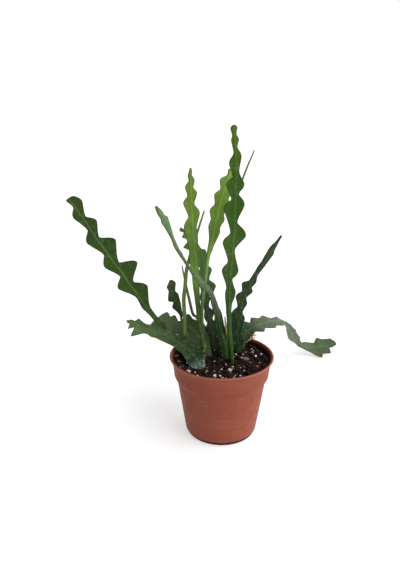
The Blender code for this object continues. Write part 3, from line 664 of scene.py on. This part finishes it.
# %% Stem table
STEMS = {
    "stem_tall": dict(
        slot="green_deep", face=[(0, 5), (4, 5), (-6, 5)], stalk=2.75, ends=(1.5, 1.3), vein=0.14,
        route=[(11.4, -10, 78), (11.4, -10, 92), (7.8, -8, 138), (7.8, -5, 180), (11.4, -2, 237),
            (12.4, 1, 285), (12.4, 4, 318), (9.9, 6, 354)],
        left=[(74.3, 2.9, 94.3, 4.7), (103.3, 3.7, 121.3, 10), (131.8, 4.2, 152.8, 11.5),
            (164, 3.9, 191, 11.9), (200, 4, 215, 9.8), (224, 3.2, 237, 6.9), (248, 1.9, 261, 3.7),
            (265.5, 2.2, 272.5, 3.7)],
        right=[(84.3, 3, 98.3, 6.6), (112.8, 2.2, 123.3, 8), (145.3, 2, 161.3, 12.7), (176, 2.9, 194, 9.8),
            (206.5, 3.2, 217, 9), (229.5, 3.3, 244, 5.8), (254, 2, 261.5, 4), (267, 1.7, 273.5, 3.2)],
        skin=[(0, (46, 83, 17)), (0.33, (47, 80, 21)), (0.56, (60, 92, 24)), (0.7, (52, 88, 13)),
            (0.8, (59, 92, 22)), (1, (85, 117, 28))]),
    "stem_low_left": dict(
        slot="green_grey", face=[(0, 40), (0, 46), (0, 52), (0, 48), (0, 38)], stalk=2.6, base_half=6.5,
        ends=(0.9, 0.9), cap=1.2, rib=1.7, vein=0.1, scurf=0.5, specks=0.6, dust=0.7,
        route=[(-24.5, -21.5, 78), (-24.5, -21.5, 90.5), (-28.8, -13.6, 96.4), (-36, -0.7, 99.2),
            (-45.6, 12.1, 101.4), (-58.4, 27.8, 103.1), (-75.2, 43.5, 104.5), (-92.2, 52.4, 106.5),
            (-116.3, 62, 113.4)],
        left=[(9, 4, 24, 10.8), (54, 7.2, 58, 7.6), (65, 6.4, 88, 8.4), (97, 6.9, 105, 7.7),
            (114, 5.6, 129.5, 16.3), (131.2, 3.8, 137.6, 8.6), (139.2, 0.8, 141, 2.2)],
        right=[(9, 4, 27, 12.5), (38, 10.6, 50, 11.4), (59, 11.2, 66, 12), (71, 7.4, 78, 8.8),
            (85, 6.8, 105, 8.4), (120, 5.8, 131, 8.4), (134.5, 4, 139.2, 3.6)],
        skin=[(0, (45, 66, 50)), (0.18, (36, 62, 35)), (0.42, (72, 96, 49)), (0.7, (97, 123, 77)),
            (1, (99, 121, 79))]),
    "blade_left": dict(
        slot="green_leaf", grows_from=("stem_low_left", "right", 95), face=[(0, 12)], stalk=3.4,
        ends=(2.2, 5.8), cap=1.4, vein=0.3,
        route=[(-75, 54, 114), (-86, 54, 129), (-98.5, 53, 148), (-118.3, 50, 181.3), (-139.8, 47, 214.9),
            (-157.9, 44, 246.9), (-172.8, 41, 271.5)],
        left=[(32.6, 3.7, 40.6, 4.9), (54.6, 2.9, 76.6, 14.4), (88.1, 4.5, 107.6, 12.3),
            (121.6, 4.2, 142.6, 12.2), (155.6, 3.4, 175.6, 8.9), (187.1, 1.6, 197.1, 4.2)],
        right=[(32.6, 3, 60.6, 16.2), (74.1, 5, 92.1, 22.2), (103.6, 4.5, 128.6, 17.2),
            (141.6, 3.2, 159.6, 11.2), (170.6, 3.6, 187.6, 10.6)],
        skin=[(0, (55, 90, 21)), (0.3, (49, 81, 11)), (0.55, (48, 79, 12)), (0.75, (43, 70, 8)),
            (1, (50, 75, 14))]),
    "blade_light_first": dict(
        slot="green_light", grows_from=("stem_low_left", "right", 33), face=[(0, 5), (6, 5), (-4, 5)],
        stalk=2.9, vein=0.3,
        route=[(-21.5, 4, 114), (-25.2, 7, 135), (-28, 9, 166), (-29, 11, 192), (-31, 12, 225),
            (-34, 13, 264), (-35, 15, 309)],
        left=[(59.2, 2.9, 81.2, 4.7), (88.2, 4.8, 105.2, 6.8), (114.2, 6.4, 142.2, 9.7),
            (154.7, 3.9, 168.7, 8.5), (177.2, 3.8, 185.7, 6.1), (193.2, 1.9, 199.2, 2.9)],
        right=[(59.2, 2.7, 105.2, 3.1), (116.2, 3.2, 131.2, 4.3), (140.2, 3.6, 157.7, 8.5),
            (168.2, 3.2, 179.7, 6.4), (186.2, 2.2, 193.2, 3.8), (200.2, 0.8, 203.2, 1.5)],
        skin=[(0, (61, 79, 31)), (0.22, (60, 82, 33)), (0.4, (103, 141, 43)), (0.55, (84, 115, 35)),
            (0.75, (108, 137, 47)), (1, (111, 137, 44))]),
    "blade_light_second": dict(
        slot="green_light", grows_from=("stem_low_left", "right", 30), face=[(0, 5), (-4, 5), (8, 5)],
        stalk=1.9, ends=(0.7, 0.7), vein=0.3,
        route=[(-20.6, 6, 114), (-22.6, 12, 135), (-22, 16, 158), (-18.8, 20, 181), (-16, 22, 205),
            (-11.5, 24, 227), (-6.5, 26, 253), (0, 28, 278), (9, 30, 306)],
        left=[(101.4, 1.5, 121.4, 2.8), (128.4, 3.1, 144.9, 6.7), (151.4, 5.5, 161.4, 9),
            (169.4, 5.4, 178.9, 8.7), (186.9, 4.1, 195.9, 7.8), (203.9, 1.7, 209.4, 2.6)],
        right=[(119.4, 2.8, 140.4, 7), (144.9, 6, 153.9, 9.2), (161.9, 6.9, 172.4, 12),
            (179.4, 7.5, 188.4, 11), (196.4, 3, 202.4, 4.5)],
        skin=[(0, (85, 111, 45)), (0.3, (116, 158, 72)), (0.5, (146, 178, 98)), (0.65, (108, 142, 53)),
            (0.8, (116, 149, 51)), (1, (131, 162, 66))]),
    "quill_long": dict(
        slot="green_quill", grows_from=("stem_low_left", "right", 62), stalk=2.6,
        route=[(-42, 17, 116), (-42.6, 17.5, 136), (-43.6, 18, 158), (-42, 18, 173), (-40, 19, 194),
            (-36, 20, 210), (-27, 23, 239), (-20, 24, 261)],
        skin=[(0, (104, 130, 58)), (0.6, (112, 138, 62)), (1, (136, 158, 70))]),
    "stem_low_back": dict(
        slot="green_dark", face=[(0, 20), (0, 35), (0, 42)], stalk=2.5, base_half=8.0, ends=(1.8, 1.5),
        cap=1.5, rib=1.7, vein=0.06, scurf=0.3, specks=0.4,
        route=[(-16, 9, 78), (-16, 9, 91), (-23, 25, 101.5), (-37, 45, 110.5), (-51, 53, 113.5),
            (-67, 60, 114), (-86.4, 64, 107)],
        left=[(14, 5, 30, 12), (50, 12, 65.2, 17), (73.2, 13, 84.2, 16), (93.2, 11.5, 100.2, 13)],
        right=[(14, 5, 52, 15.5), (63.2, 11, 70.2, 14.6), (77.7, 2.4, 84.7, 8.4), (89.7, 5.4, 94.2, 11),
            (105.2, 6.2, 106.2, 6.2)],
        skin=[(0, (61, 81, 46)), (0.55, (77, 104, 58)), (1, (144, 158, 122))]),
    "blade_small_dark": dict(
        slot="green_dark", grows_from=("stem_low_back", "right", 76), stalk=1.9, blend=6.0, ends=(1.4, 1.4),
        vein=0.05, scurf=0.25,
        route=[(-48, 58, 124), (-50, 57, 136), (-56.5, 54, 152), (-60, 51, 171)],
        left=[(4, 1.8, 18, 9.2), (27.5, 5, 31.5, 9.6), (42.5, 5, 47.5, 6.2)],
        right=[(14, 1.2, 35, 4.9), (40, 2.6, 51.5, 5.1)],
        skin=[(0, (52, 76, 35)), (0.4, (52, 76, 35)), (1, (71, 89, 58))]),
    "quill_short": dict(
        slot="green_quill", grows_from=("stem_low_back", "right", 61), stalk=2.0,
        route=[(-33, 46, 128), (-37.5, 42, 148), (-41.5, 41, 168), (-46, 38, 193)],
        skin=[(0.0, (80, 96, 52)), (1.0, (110, 124, 70))]),
    "blade_grey": dict(
        slot="green_grey", face=[(-6, 0), (-3, 5), (0, 12)], stalk=3.0, base_half=7, blend=14.0,
        ends=(0.7, 0.7), vein=0.12, scurf=0.2,
        route=[(-8, 31, 78), (-8, 31, 90), (-11, 32, 112), (-18, 34, 148), (-20, 36, 172), (-20, 39, 194),
            (-23, 42, 207), (-31, 45, 218), (-39, 50, 227), (-48, 54, 234)],
        left=[(6, 6, 16, 10), (27, 4.2, 38, 6.4), (46, 3, 54, 5), (64, 3, 76, 6), (86, 4, 102, 9.5),
            (112, 5, 126, 14.4), (138, 8, 148.5, 13.5), (152, 3.6, 160.5, 7.3), (163, 1.6, 168, 3.3)],
        right=[(6, 6, 18, 10.5), (27, 5, 42, 7.5), (50, 4, 58, 7), (66, 2.8, 91, 13.4),
            (100, 5.6, 111, 8.5), (116, 4.5, 132, 5.4), (135, 1.8, 150, 3.4), (156, 1.4, 163, 1.8)],
        # The dark first stretch of this skin is painted shade, where the stalk stands among the other stems.
        skin=[(0, (56, 71, 46)), (0.38, (56, 72, 46)), (0.7, (93, 131, 64)), (1, (93, 131, 64))]),
    "stem_arching": dict(
        slot="green_grey", face=[(10, 0), (25, 0), (50, 5), (76, 10), (78, 10), (62, 10), (55, 10)],
        stalk=2.4, base_half=4.5, ends=(1.2, 1.2), vein=0.16, scurf=0.2, right_half_shade=-0.3,
        route=[(5.8, 5, 78), (5.8, 5, 90), (2.2, 7, 111), (-2.8, 7, 130), (-8, 2, 156), (-15.5, -6, 177),
            (-26.6, -12, 192), (-40, -20.5, 213.9), (-51.2, -27, 236.4), (-58.4, -32, 257.4),
            (-69.2, -37.5, 278.4)],
        left=[(10, 4.5, 20, 7.6), (32, 5, 58, 6.2), (68, 4.6, 88, 6.4), (100, 4.4, 120, 7),
            (134, 3, 140, 3.2), (155.6, 2.2, 171.6, 3.6), (183.6, 2.4, 204.6, 6), (210.6, 3.2, 214.6, 3.4)],
        right=[(10, 3.5, 26, 6.2), (34, 5, 64, 6.6), (78, 4.4, 102, 6.4), (112, 4.6, 123, 6.6),
            (137.6, 2.6, 161.6, 3.2), (169.6, 2.6, 179.6, 3.5), (189.6, 2.7, 205.1, 5.8),
            (209.6, 3.2, 213.6, 3.2)],
        # The dark first stretch of this skin is painted shade, where the broad base stands among the other
        # stems.
        skin=[(0, (30, 60, 18)), (0.2, (30, 60, 18)), (0.37, (49, 71, 36)), (0.55, (76, 92, 57)),
            (0.68, (76, 99, 56)), (1, (91, 119, 79))]),
    "bud_quill": dict(
        slot="green_quill", grows_from=("stem_arching", "right", 31), stalk=1.8,
        route=[(7.2, 13, 114), (5.6, 8, 122), (4.6, 6, 131), (3.3, 4.5, 143)],
        skin=[(0.0, (132, 138, 62)), (0.6, (182, 172, 84)), (1.0, (206, 186, 120))]),
    "quill_back": dict(
        slot="green_leaf", stalk=2.1,
        route=[(16, 38, 78), (16, 38, 90), (11, 38, 112), (9, 36, 151), (10, 34, 195), (12, 33, 237),
            (15, 34, 265), (23, 38, 295), (35, 44, 324)],
        skin=[(0.0, (70, 90, 46)), (1.0, (92, 112, 60))]),
    "stem_leaning": dict(
        slot="green_dark", face=[(12, 0), (8, 0), (15, 0), (28, 0), (40, 0)], stalk=2.6, vein=0.1,
        scurf=0.08,
        route=[(21, 19, 78), (21, 19, 90), (19.3, 21, 112), (20.2, 24, 132), (22.8, 26, 148.6),
            (30.8, 30, 167.4), (47.6, 35, 195.8), (68.9, 42, 228)],
        left=[(10, 4, 24, 9), (36, 6.6, 60, 9.4), (68.5, 3.8, 79, 10), (86.5, 5.4, 94.5, 10.4),
            (101.5, 4, 118, 3.9), (127, 3.4, 145, 4.7)],
        right=[(12, 3, 27, 7.2), (36, 4.2, 54, 7.3), (62, 3.8, 73, 7), (81, 3.2, 90, 6.9),
            (95.5, 3.6, 103, 5.6), (112, 2.8, 139.5, 5.2), (147, 2.6, 153, 2.4)],
        skin=[(0, (19, 46, 12)), (0.25, (19, 46, 12)), (0.55, (30, 53, 21)), (1, (42, 61, 35))]),
    "stem_trailing": dict(
        slot="green_grey", face=[(0, 15), (0, 50), (0, 66), (75, 78), (70, 86), (0, 53), (0, 46)],
        stalk=2.6, base_half=4.5, ends=(2.5, 2.6), cap=1.6, rib=1.7, vein=0.14, scurf=0.2, specks=0.4,
        route=[(24, 31, 78), (24, 31, 89), (26, 35, 102), (35.5, 39, 111.3), (48, 44, 115.8),
            (62, 53, 114.6), (79, 73, 108), (96.5, 112, 81.5), (111.5, 160, 43.5), (125.5, 191, 18),
            (142, 201, 12), (161, 204, 11.4), (184, 213, 13.6)],
        left=[(14, 4.9, 36, 14.1), (43.5, 7.1, 48, 11.9), (56.5, 8.3, 64, 11), (79, 6.5, 93, 8.3),
            (102, 4.1, 132, 8.1), (158, 7.5, 176, 9.5), (201, 9.5, 218, 12.3), (228, 9.6, 243, 13.9),
            (256, 5, 268, 8.4), (281.5, 7.2, 288, 15), (304, 10.6, 311, 9.2)],
        right=[(12, 5.3, 37, 8.3), (41.5, 5.7, 52, 10.7), (56.5, 6.5, 69, 9.6), (74, 6.3, 85, 8.9),
            (96, 4.2, 116, 4.8), (130, 5, 153, 6.2), (164, 6, 196, 8.8), (206, 7, 222, 8.4),
            (234, 5.6, 244, 6), (252, 1.6, 289, 18.1), (290.5, 11.8, 301, 13.6), (303.5, 4.2, 309, 4.6)],
        skin=[(0, (48, 70, 41)), (0.12, (53, 75, 46)), (0.17, (80, 93, 70)), (0.25, (88, 103, 79)),
            (0.5, (84, 103, 64)), (0.78, (84, 103, 64)), (0.9, (75, 93, 58)), (1, (60, 77, 48))]),
}
print("stems:", len(STEMS))

# %% [markdown]
# ## From table to surface
#
# The route is turned into a smooth line with a direction across the blade at every millimetre. A margin's
# reach is worked out from its lobes: the longer side of a lobe rises gently out of a hollow, and the shorter
# one is steep and full, as the photograph shows. Cross sections follow at short steps: a circle where the
# stem is a stalk, and further up a thin blade with a raised midrib and rounded margins. A shoot starts just
# outside its parent's margin.

# %% Stem geometry
EDGE_HALF, RIB_HALF = 0.5, 1.45  # half the blade's thickness at its margins and at its midrib
EDGE_ROUND = 0.8  # the width over which a margin is rounded off
FOLD = 0.10  # how steeply each half rises from the midrib
RIPPLE = 1.1  # the height of the slow waves at the margins
SWELL = 0.3  # added to every half width, as a rounded margin looks narrower
ROUND_FLAT = 0.87  # a stalk's width for its thickness
BLEND = 18.0  # the length over which a stalk turns into a blade
BASE_SPREAD = 8.0  # the length below the first bay over which the margins run into the base
FOOT_TAPER, FOOT_LENGTH = 0.55, 7.0  # the share of its width that a shoot starts with, and where it is full
SEAT_OFF, FOOT_RISE = 0.9, 3.0  # a shoot's first point off its parent's margin, and its second off the first
QUILL_TAPER, QUILL_TIP = 0.6, 0.35  # the share of a quill's length that tapers, and of its width at the tip
TIP_LENGTH = 2.0  # the end of a stem, where the rows are closer
ROW_STEP = 0.8
CURVE_STEPS = 60
HALF_COLUMNS = (0.0, 0.06, 0.13, 0.22, 0.34, 0.48, 0.62, 0.76, 0.88, 0.95, 0.985, 1.0)
USUAL = dict(left=(), right=(), face=[(0, 0)], ends=(0.8, 0.8), cap=1.3, rib=RIB_HALF, blend=BLEND, vein=0.2,
             scurf=0.12, specks=0.3, dust=0.0, right_half_shade=0.16)  # where the table says nothing else


def unit(v):
    return v / np.linalg.norm(v)


def read_at(places, known, rows):
    """Rows of coordinates known at some places, read at others."""
    return np.stack([np.interp(places, known, rows[:, k]) for k in range(3)], axis=-1)


def smooth_route(route):
    """Points 1 mm apart on a smooth curve. A route that starts upright keeps straight to its second point."""
    p = np.asarray(route, float)
    knots = np.concatenate([[0], np.cumsum(np.sqrt(np.linalg.norm(np.diff(p, axis=0), axis=1)))])
    slope = np.gradient(p, knots, axis=0)
    if np.allclose(p[0, :2], p[1, :2]):
        slope[:2, :2] = 0.0
    curve = []
    for i in range(len(p) - 1):
        h = knots[i + 1] - knots[i]
        for t in np.linspace(0, 1, CURVE_STEPS, endpoint=False):
            curve.append((2 * t**3 - 3 * t**2 + 1) * p[i] + (t**3 - 2 * t**2 + t) * h * slope[i]
                         + (3 * t**2 - 2 * t**3) * p[i + 1] + (t**3 - t**2) * h * slope[i + 1])
    curve = np.array(curve + [p[-1]])
    along = np.concatenate([[0], np.cumsum(np.linalg.norm(np.diff(curve, axis=0), axis=1))])
    at = np.linspace(0, along[-1], int(round(along[-1])) + 1)
    return read_at(at, along, curve), at


def face_vector(turn, lift):
    t, rise = math.radians(turn), math.radians(lift)
    return np.array([math.sin(t) * math.cos(rise), -math.cos(t) * math.cos(rise), math.sin(rise)])


def lay_out(route, face):
    """The line that a stem follows, with its three directions at every millimetre."""
    centre, at = smooth_route(route)
    along = np.gradient(centre, at, axis=0)
    along /= np.linalg.norm(along, axis=1)[:, None]
    looks = np.array([face_vector(*f) for f in face])
    places = np.linspace(0, at[-1], len(face))
    across = np.cross(along, read_at(at, places, looks))
    across /= np.linalg.norm(across, axis=1)[:, None]
    return dict(at=at, centre=centre, across=across, normal=np.cross(across, along), length=at[-1])


def read(line, key, s):
    return read_at(s, line["at"], line[key])


def flank(share, gentle):
    """A lobe's side, from 0 at the notch to 1 at its top: long and hollow, or short and full."""
    share = min(1.0, max(0.0, share))
    if gentle:
        return 1 - (1 - share**1.5) ** 1.3
    return (1 - (1 - share) ** 2.4) ** 1.6


def reach(s, lobes, tip, length):
    """How far a margin stands from the midrib at s. A lobe's longer side is the gentle one."""
    for i, (notch, bay, peak, height) in enumerate(lobes):
        end, after = (length, tip) if i + 1 == len(lobes) else lobes[i + 1][:2]
        if s > end:
            continue
        rise, fall = peak - notch, end - peak
        if s <= peak:
            return bay + (height - bay) * flank((s - notch) / rise, rise > fall)
        return after + (height - after) * flank((end - s) / fall, fall > rise)
    return tip


def first_notch(stem):
    if not stem["left"]:
        return stem["line"]["length"]
    return min(stem["left"][0][0], stem["right"][0][0])


def half_widths(stem, s):
    """The blade's reach to the left and to the right at s."""
    length = stem["line"]["length"]
    stalk = ROUND_FLAT * stem["stalk"]
    if not stem["left"]:
        taper = min(1.0, (length - s) / (QUILL_TAPER * length))
        width = stalk * (QUILL_TIP + (1 - QUILL_TIP) * taper**0.7)
        return width, width
    widths = []
    for lobes, tip in zip((stem["left"], stem["right"]), stem["ends"]):
        first, bay = lobes[0][:2]
        if s >= first:
            widths.append(reach(s, lobes, tip, length))
        else:
            share = min(1.0, (first - s) / BASE_SPREAD)
            widths.append(bay + (stem.get("base_half", stalk) - bay) * share)
    return [width + SWELL for width in widths]


def section_height(stem, s, x, width, blade):
    """Half the thickness at x from the midrib, where the blade's margin is at width."""
    share = min(1.0, x / width)
    stalk = stem["stalk"] if stem["left"] else half_widths(stem, s)[0] / ROUND_FLAT
    circle_height = stalk * math.sqrt(max(0.0, 1 - share**2))
    rounding = min(1.0, (width - x) / EDGE_ROUND)
    margin = EDGE_HALF * math.sqrt(max(0.0, 1 - (1 - rounding) ** 2))
    rib = (stem["rib"] - EDGE_HALF) * (0.6 * math.exp(-(x / 1.5) ** 2) + 0.4 * (1 - share**1.6))
    return circle_height * (1 - blade) + (margin + rib) * blade


def tip_round(stem, s):
    """Draws the last rows in, so that the tip closes in a round end."""
    left, cap = stem["line"]["length"] - s, stem["cap"]
    return 1.0 if left >= cap else math.sqrt(max(0.0, 1 - ((cap - left) / cap) ** 2))


def foot_taper(stem, s):
    """A shoot is thin where it leaves its parent."""
    if "grows_from" not in stem:
        return 1.0
    return FOOT_TAPER + (1 - FOOT_TAPER) * min(1.0, s / FOOT_LENGTH)


def ruffle(stem, s, share):
    """The blade's slow ripple, largest at the margins."""
    seed = stem["seed"]
    ripple = noise.noise(Vector((s / 16, seed, 1.0))) + 0.5 * noise.noise(Vector((s / 7, seed, 5.0)))
    return RIPPLE * ripple * share * abs(share)


def stem_surface(stem):
    """Points, faces and marks of the stem: rings of points laid across the blade and back beneath it."""
    line = stem["line"]
    length = line["length"]
    tip_start = length - TIP_LENGTH
    tip_places = tip_start + TIP_LENGTH * np.sin(np.linspace(0, 1.56, 7))
    shares = [-c for c in reversed(HALF_COLUMNS)] + list(HALF_COLUMNS[1:])
    points, marks = [], {"along": [], "across": [], "from_edge": []}
    for s in np.concatenate([np.arange(0, tip_start, ROW_STEP), tip_places]):
        centre, across, normal = (read(line, key, s) for key in ("centre", "across", "normal"))
        across, normal = unit(across), unit(normal)
        widths = half_widths(stem, s)
        blade = min(1.0, max(0.0, (s - first_notch(stem)) / stem["blend"]))
        draw_in, taper = tip_round(stem, s), foot_taper(stem, s)
        for front, order in ((1, shares), (-1, shares[-2:0:-1])):
            for share in order:
                width = widths[0 if share < 0 else 1] * taper
                x = abs(share) * width
                z = front * section_height(stem, s, x, width, blade) * taper * min(1.0, 0.3 + 0.7 * draw_in)
                if draw_in < 0.999:
                    z *= draw_in
                    x *= draw_in
                lift = z + FOLD * blade * x + blade * ruffle(stem, s, share)
                points.append(centre + math.copysign(x, share) * across + lift * normal)
                marks["along"].append(s / length)
                marks["across"].append(share)
                marks["from_edge"].append((width - x) / 10)
    ring = 2 * len(shares) - 2
    rows = [list(range(start, start + ring)) for start in range(0, len(points), ring)]
    return points, bands(rows, flip=True) + [rows[0][::-1], rows[-1]], marks


def margin_point(stem, side, s, beyond=0.0):
    """A point on a margin, the direction out of it, and the direction out of the flat side."""
    line = stem["line"]
    sign, index = (-1, 0) if side == "left" else (1, 1)
    width = half_widths(stem, s)[index]
    across, normal = unit(read(line, "across", s)), unit(read(line, "normal", s))
    wave = ruffle(stem, s, sign) if s > first_notch(stem) + BLEND else 0.0
    edge = read(line, "centre", s) + sign * (width + beyond) * across + (FOLD * width + wave) * normal
    return edge, sign * across, normal


for number, stem in enumerate(STEMS.values()):
    stem.update(USUAL | stem, seed=3.7 * number + 1.3)
    route = list(stem["route"])
    if "grows_from" in stem:
        parent, side, s = stem["grows_from"]
        foot, outward, _ = margin_point(STEMS[parent], side, s, SEAT_OFF)
        onward = unit(outward + unit(np.array(route[0]) - foot))
        route = [tuple(foot), tuple(foot + FOOT_RISE * onward)] + route
    stem["line"] = lay_out(route, stem["face"])
print("longest stem:", round(max(s["line"]["length"] for s in STEMS.values())), "mm")

# %% [markdown]
# ## Cactus skin
#
# The skin is a waxy green. It is paler along the midrib, has a thin dark line of painted shade at its
# margins, fades from the old wood at the root to the young tip, and is mottled where the thick flesh lets
# light through unevenly. On two crowded stems the dark foot is painted shade. One half of a blade carries
# painted shade, the old stems carry grey scurf, and fine dust has settled at the foot of the lowest. The
# marks that the mesh carries say how far along and across the blade each point lies, and how far from its
# margin.

# %% Skin finish
def cactus_skin(name, stem):
    made = Finish(name + "_skin", specular=0.18)
    along, across, from_edge = (made.marked(mark) for mark in ("along", "across", "from_edge"))
    made.paint(made.stops(along, stem["skin"]))
    tones = ((0.5, (186, 202, 140)), (0.6, (10, 24, 8)), (0.6, (168, 182, 158)))
    pale, deep, grey = [made.mix(share, made.base, tone) for share, tone in tones]
    made.lay(made.patches(8, 4, 0.36, 0.74, 0.0, 0.3, roughness=0.6), deep)
    made.lay(made.patches(3.2, 3, 0.52, 0.74, 0.0, 0.24, stretch=(1, 1, 0.6)), pale)
    half_shade = stem["right_half_shade"]
    # Painted shade on one half of the blade, as on a half turned from the light.
    made.lay(made.ramp(across, -0.25, 0.25, max(0, -half_shade), max(0, half_shade)), deep)
    middle = made.maths("ABSOLUTE", across, 0.0)
    made.lay(made.ramp(middle, 0.02, 0.11, stem["vein"], 0.0), pale)
    made.lay(made.ramp(middle, 0.1, 0.3, 0.0, 0.12), deep)
    made.lay(made.patches(4.5, 6, 0.5, 0.72, 0.0, stem["scurf"], roughness=0.72), grey)
    # Painted shade: a thin dark line along the margins, where the rounded edge turns from the light.
    made.lay(made.ramp(from_edge, 0.04, 0.11, 0.72, 0.0), deep)
    made.lay(made.spots(1.6, 0.05, 0.13, stem["specks"]), grey)
    dust = made.patches(1.6, 5, 0.46, 0.6, 0.0, stem["dust"], roughness=0.7)
    made.lay(made.maths("MULTIPLY", dust, made.ramp(along, 0.1, 0.17, 1.0, 0.0)), (160, 174, 168))
    made.put(made.patches(5, 3, 0.3, 0.7, 0.42, 0.6), made.shader["Roughness"])
    made.bump(0.5, 4.5, 2)
    made.bump(0.08, 0.8, 3)
    return made.material


for name, stem in STEMS.items():
    points, faces, marks = stem_surface(stem)
    skin = cactus_skin(name, stem)
    add_piece(name + "_skin", points, faces, skin, stem["slot"], replaces=[name], marks=marks)

# %% [markdown]
# ## Areoles, wool and husks
#
# In every bay between two lobes sits an areole, a tiny cushion of felt with a few short hairs. They are what
# makes the plant a cactus. Each is a flattened ball with thin tapered hairs standing out of it, and all of
# one stem's areoles are one piece. Quills carry smaller ones all the way up. On the old stems some areoles
# have grown into tufts of wool, and a few dried husks are caught where the trailing stem leaves the soil.

# %% Areoles
HAIRS_IN_TUFT = 30
UNDER_SOIL = 20
QUILL_AREOLES = 9.0
WOOL = {"stem_low_left": [("right", 22), ("right", 29), ("right", 37), ("right", 88), ("right", 99),
                          ("left", 26)],
        "stem_low_back": [("right", 63)], "stem_trailing": [("right", 41.5), ("left", 43.5)]}
HUSKS_ON_STEM = ((27, 1.5), (31, 2.0), (35, 2.4), (39, 2.1))
HUSKS_ON_RIM = ((31, 42, 94, 1.8), (37.5, 45, 98.2, 2.4))


def hair(foot, direction, length, radius):
    """A thin three-sided spike."""
    direction = unit(direction)
    side = unit(np.cross(direction, (0.3, 0.5, 0.8)))
    other = np.cross(direction, side)
    turns = [2 * math.pi * k / 3 for k in range(3)]
    points = [tuple(foot + radius * (math.cos(a) * side + math.sin(a) * other)) for a in turns]
    return points + [tuple(foot + length * direction)], [(0, 1, 3), (1, 2, 3), (2, 0, 3), (2, 1, 0)]


def areole(draw, heap, spot, size):
    """A cushion with short hairs at a margin point."""
    foot, outward, normal = spot
    heap.add(grain_mesh(draw, tuple(foot), size, 0.75, 0.4))
    for _ in range(draw.randint(3, 6)):
        swing = draw.uniform(-0.8, 0.8) * normal + draw.uniform(-0.6, 0.6) * np.cross(outward, normal)
        heap.add(hair(foot, outward + swing, size * draw.uniform(1.6, 2.8), 0.09))


def tuft(draw, heap, spot, size):
    """A loose ball of wool: many fine hairs from one margin point."""
    foot, outward, normal = spot
    sideways = np.cross(outward, normal)
    for _ in range(HAIRS_IN_TUFT):
        start = foot + draw.uniform(-0.5, 0.5) * size * sideways + draw.uniform(-0.3, 0.3) * size * normal
        swing = draw.uniform(-1.3, 1.3) * normal + draw.uniform(-1.3, 1.3) * sideways
        heap.add(hair(start, outward + swing, size * draw.uniform(0.8, 1.8), 0.08))


felt_finish = chalky("areole_felt", (112, 94, 66), (188, 172, 136), 0.8)
wool_finish = chalky("areole_wool", (196, 190, 172), (240, 238, 228), 0.8)
husk_finish = chalky("husk_tan", (176, 146, 98), (246, 236, 206), 2.0)
draw = random.Random(23)
for name, stem in STEMS.items():
    cushions = Heap()
    for side in ("left", "right"):
        for notch, *_ in stem[side]:
            if notch >= UNDER_SOIL or "grows_from" in stem:
                areole(draw, cushions, margin_point(stem, side, notch, -0.1), draw.uniform(0.45, 0.75))
    if not stem["left"]:
        for k, s in enumerate(np.arange(12, stem["line"]["length"] - 3, QUILL_AREOLES)):
            spot = margin_point(stem, "left" if k % 2 else "right", s, -0.05)
            areole(draw, cushions, spot, draw.uniform(0.25, 0.4))
    if cushions.points:
        add_piece(name + "_areoles", *cushions.body, felt_finish, stem["slot"])
wool = Heap()
for name, places in WOOL.items():
    for side, s in places:
        tuft(draw, wool, margin_point(STEMS[name], side, s, -0.2), draw.uniform(1.0, 1.5))
add_piece("wool_tufts", *wool.body, wool_finish, "green_grey")
husks = Heap()
for s, size in HUSKS_ON_STEM:
    foot = margin_point(STEMS["stem_trailing"], "right", s, 0.8)[0]
    husks.add(grain_mesh(draw, tuple(foot), size, 0.6, 0.8, 3))
for x, y, z, size in HUSKS_ON_RIM:
    husks.add(grain_mesh(draw, (x, y, z), size, 0.5, 0.8, 3))
add_piece("dried_husks", *husks.body, husk_finish, "soil")
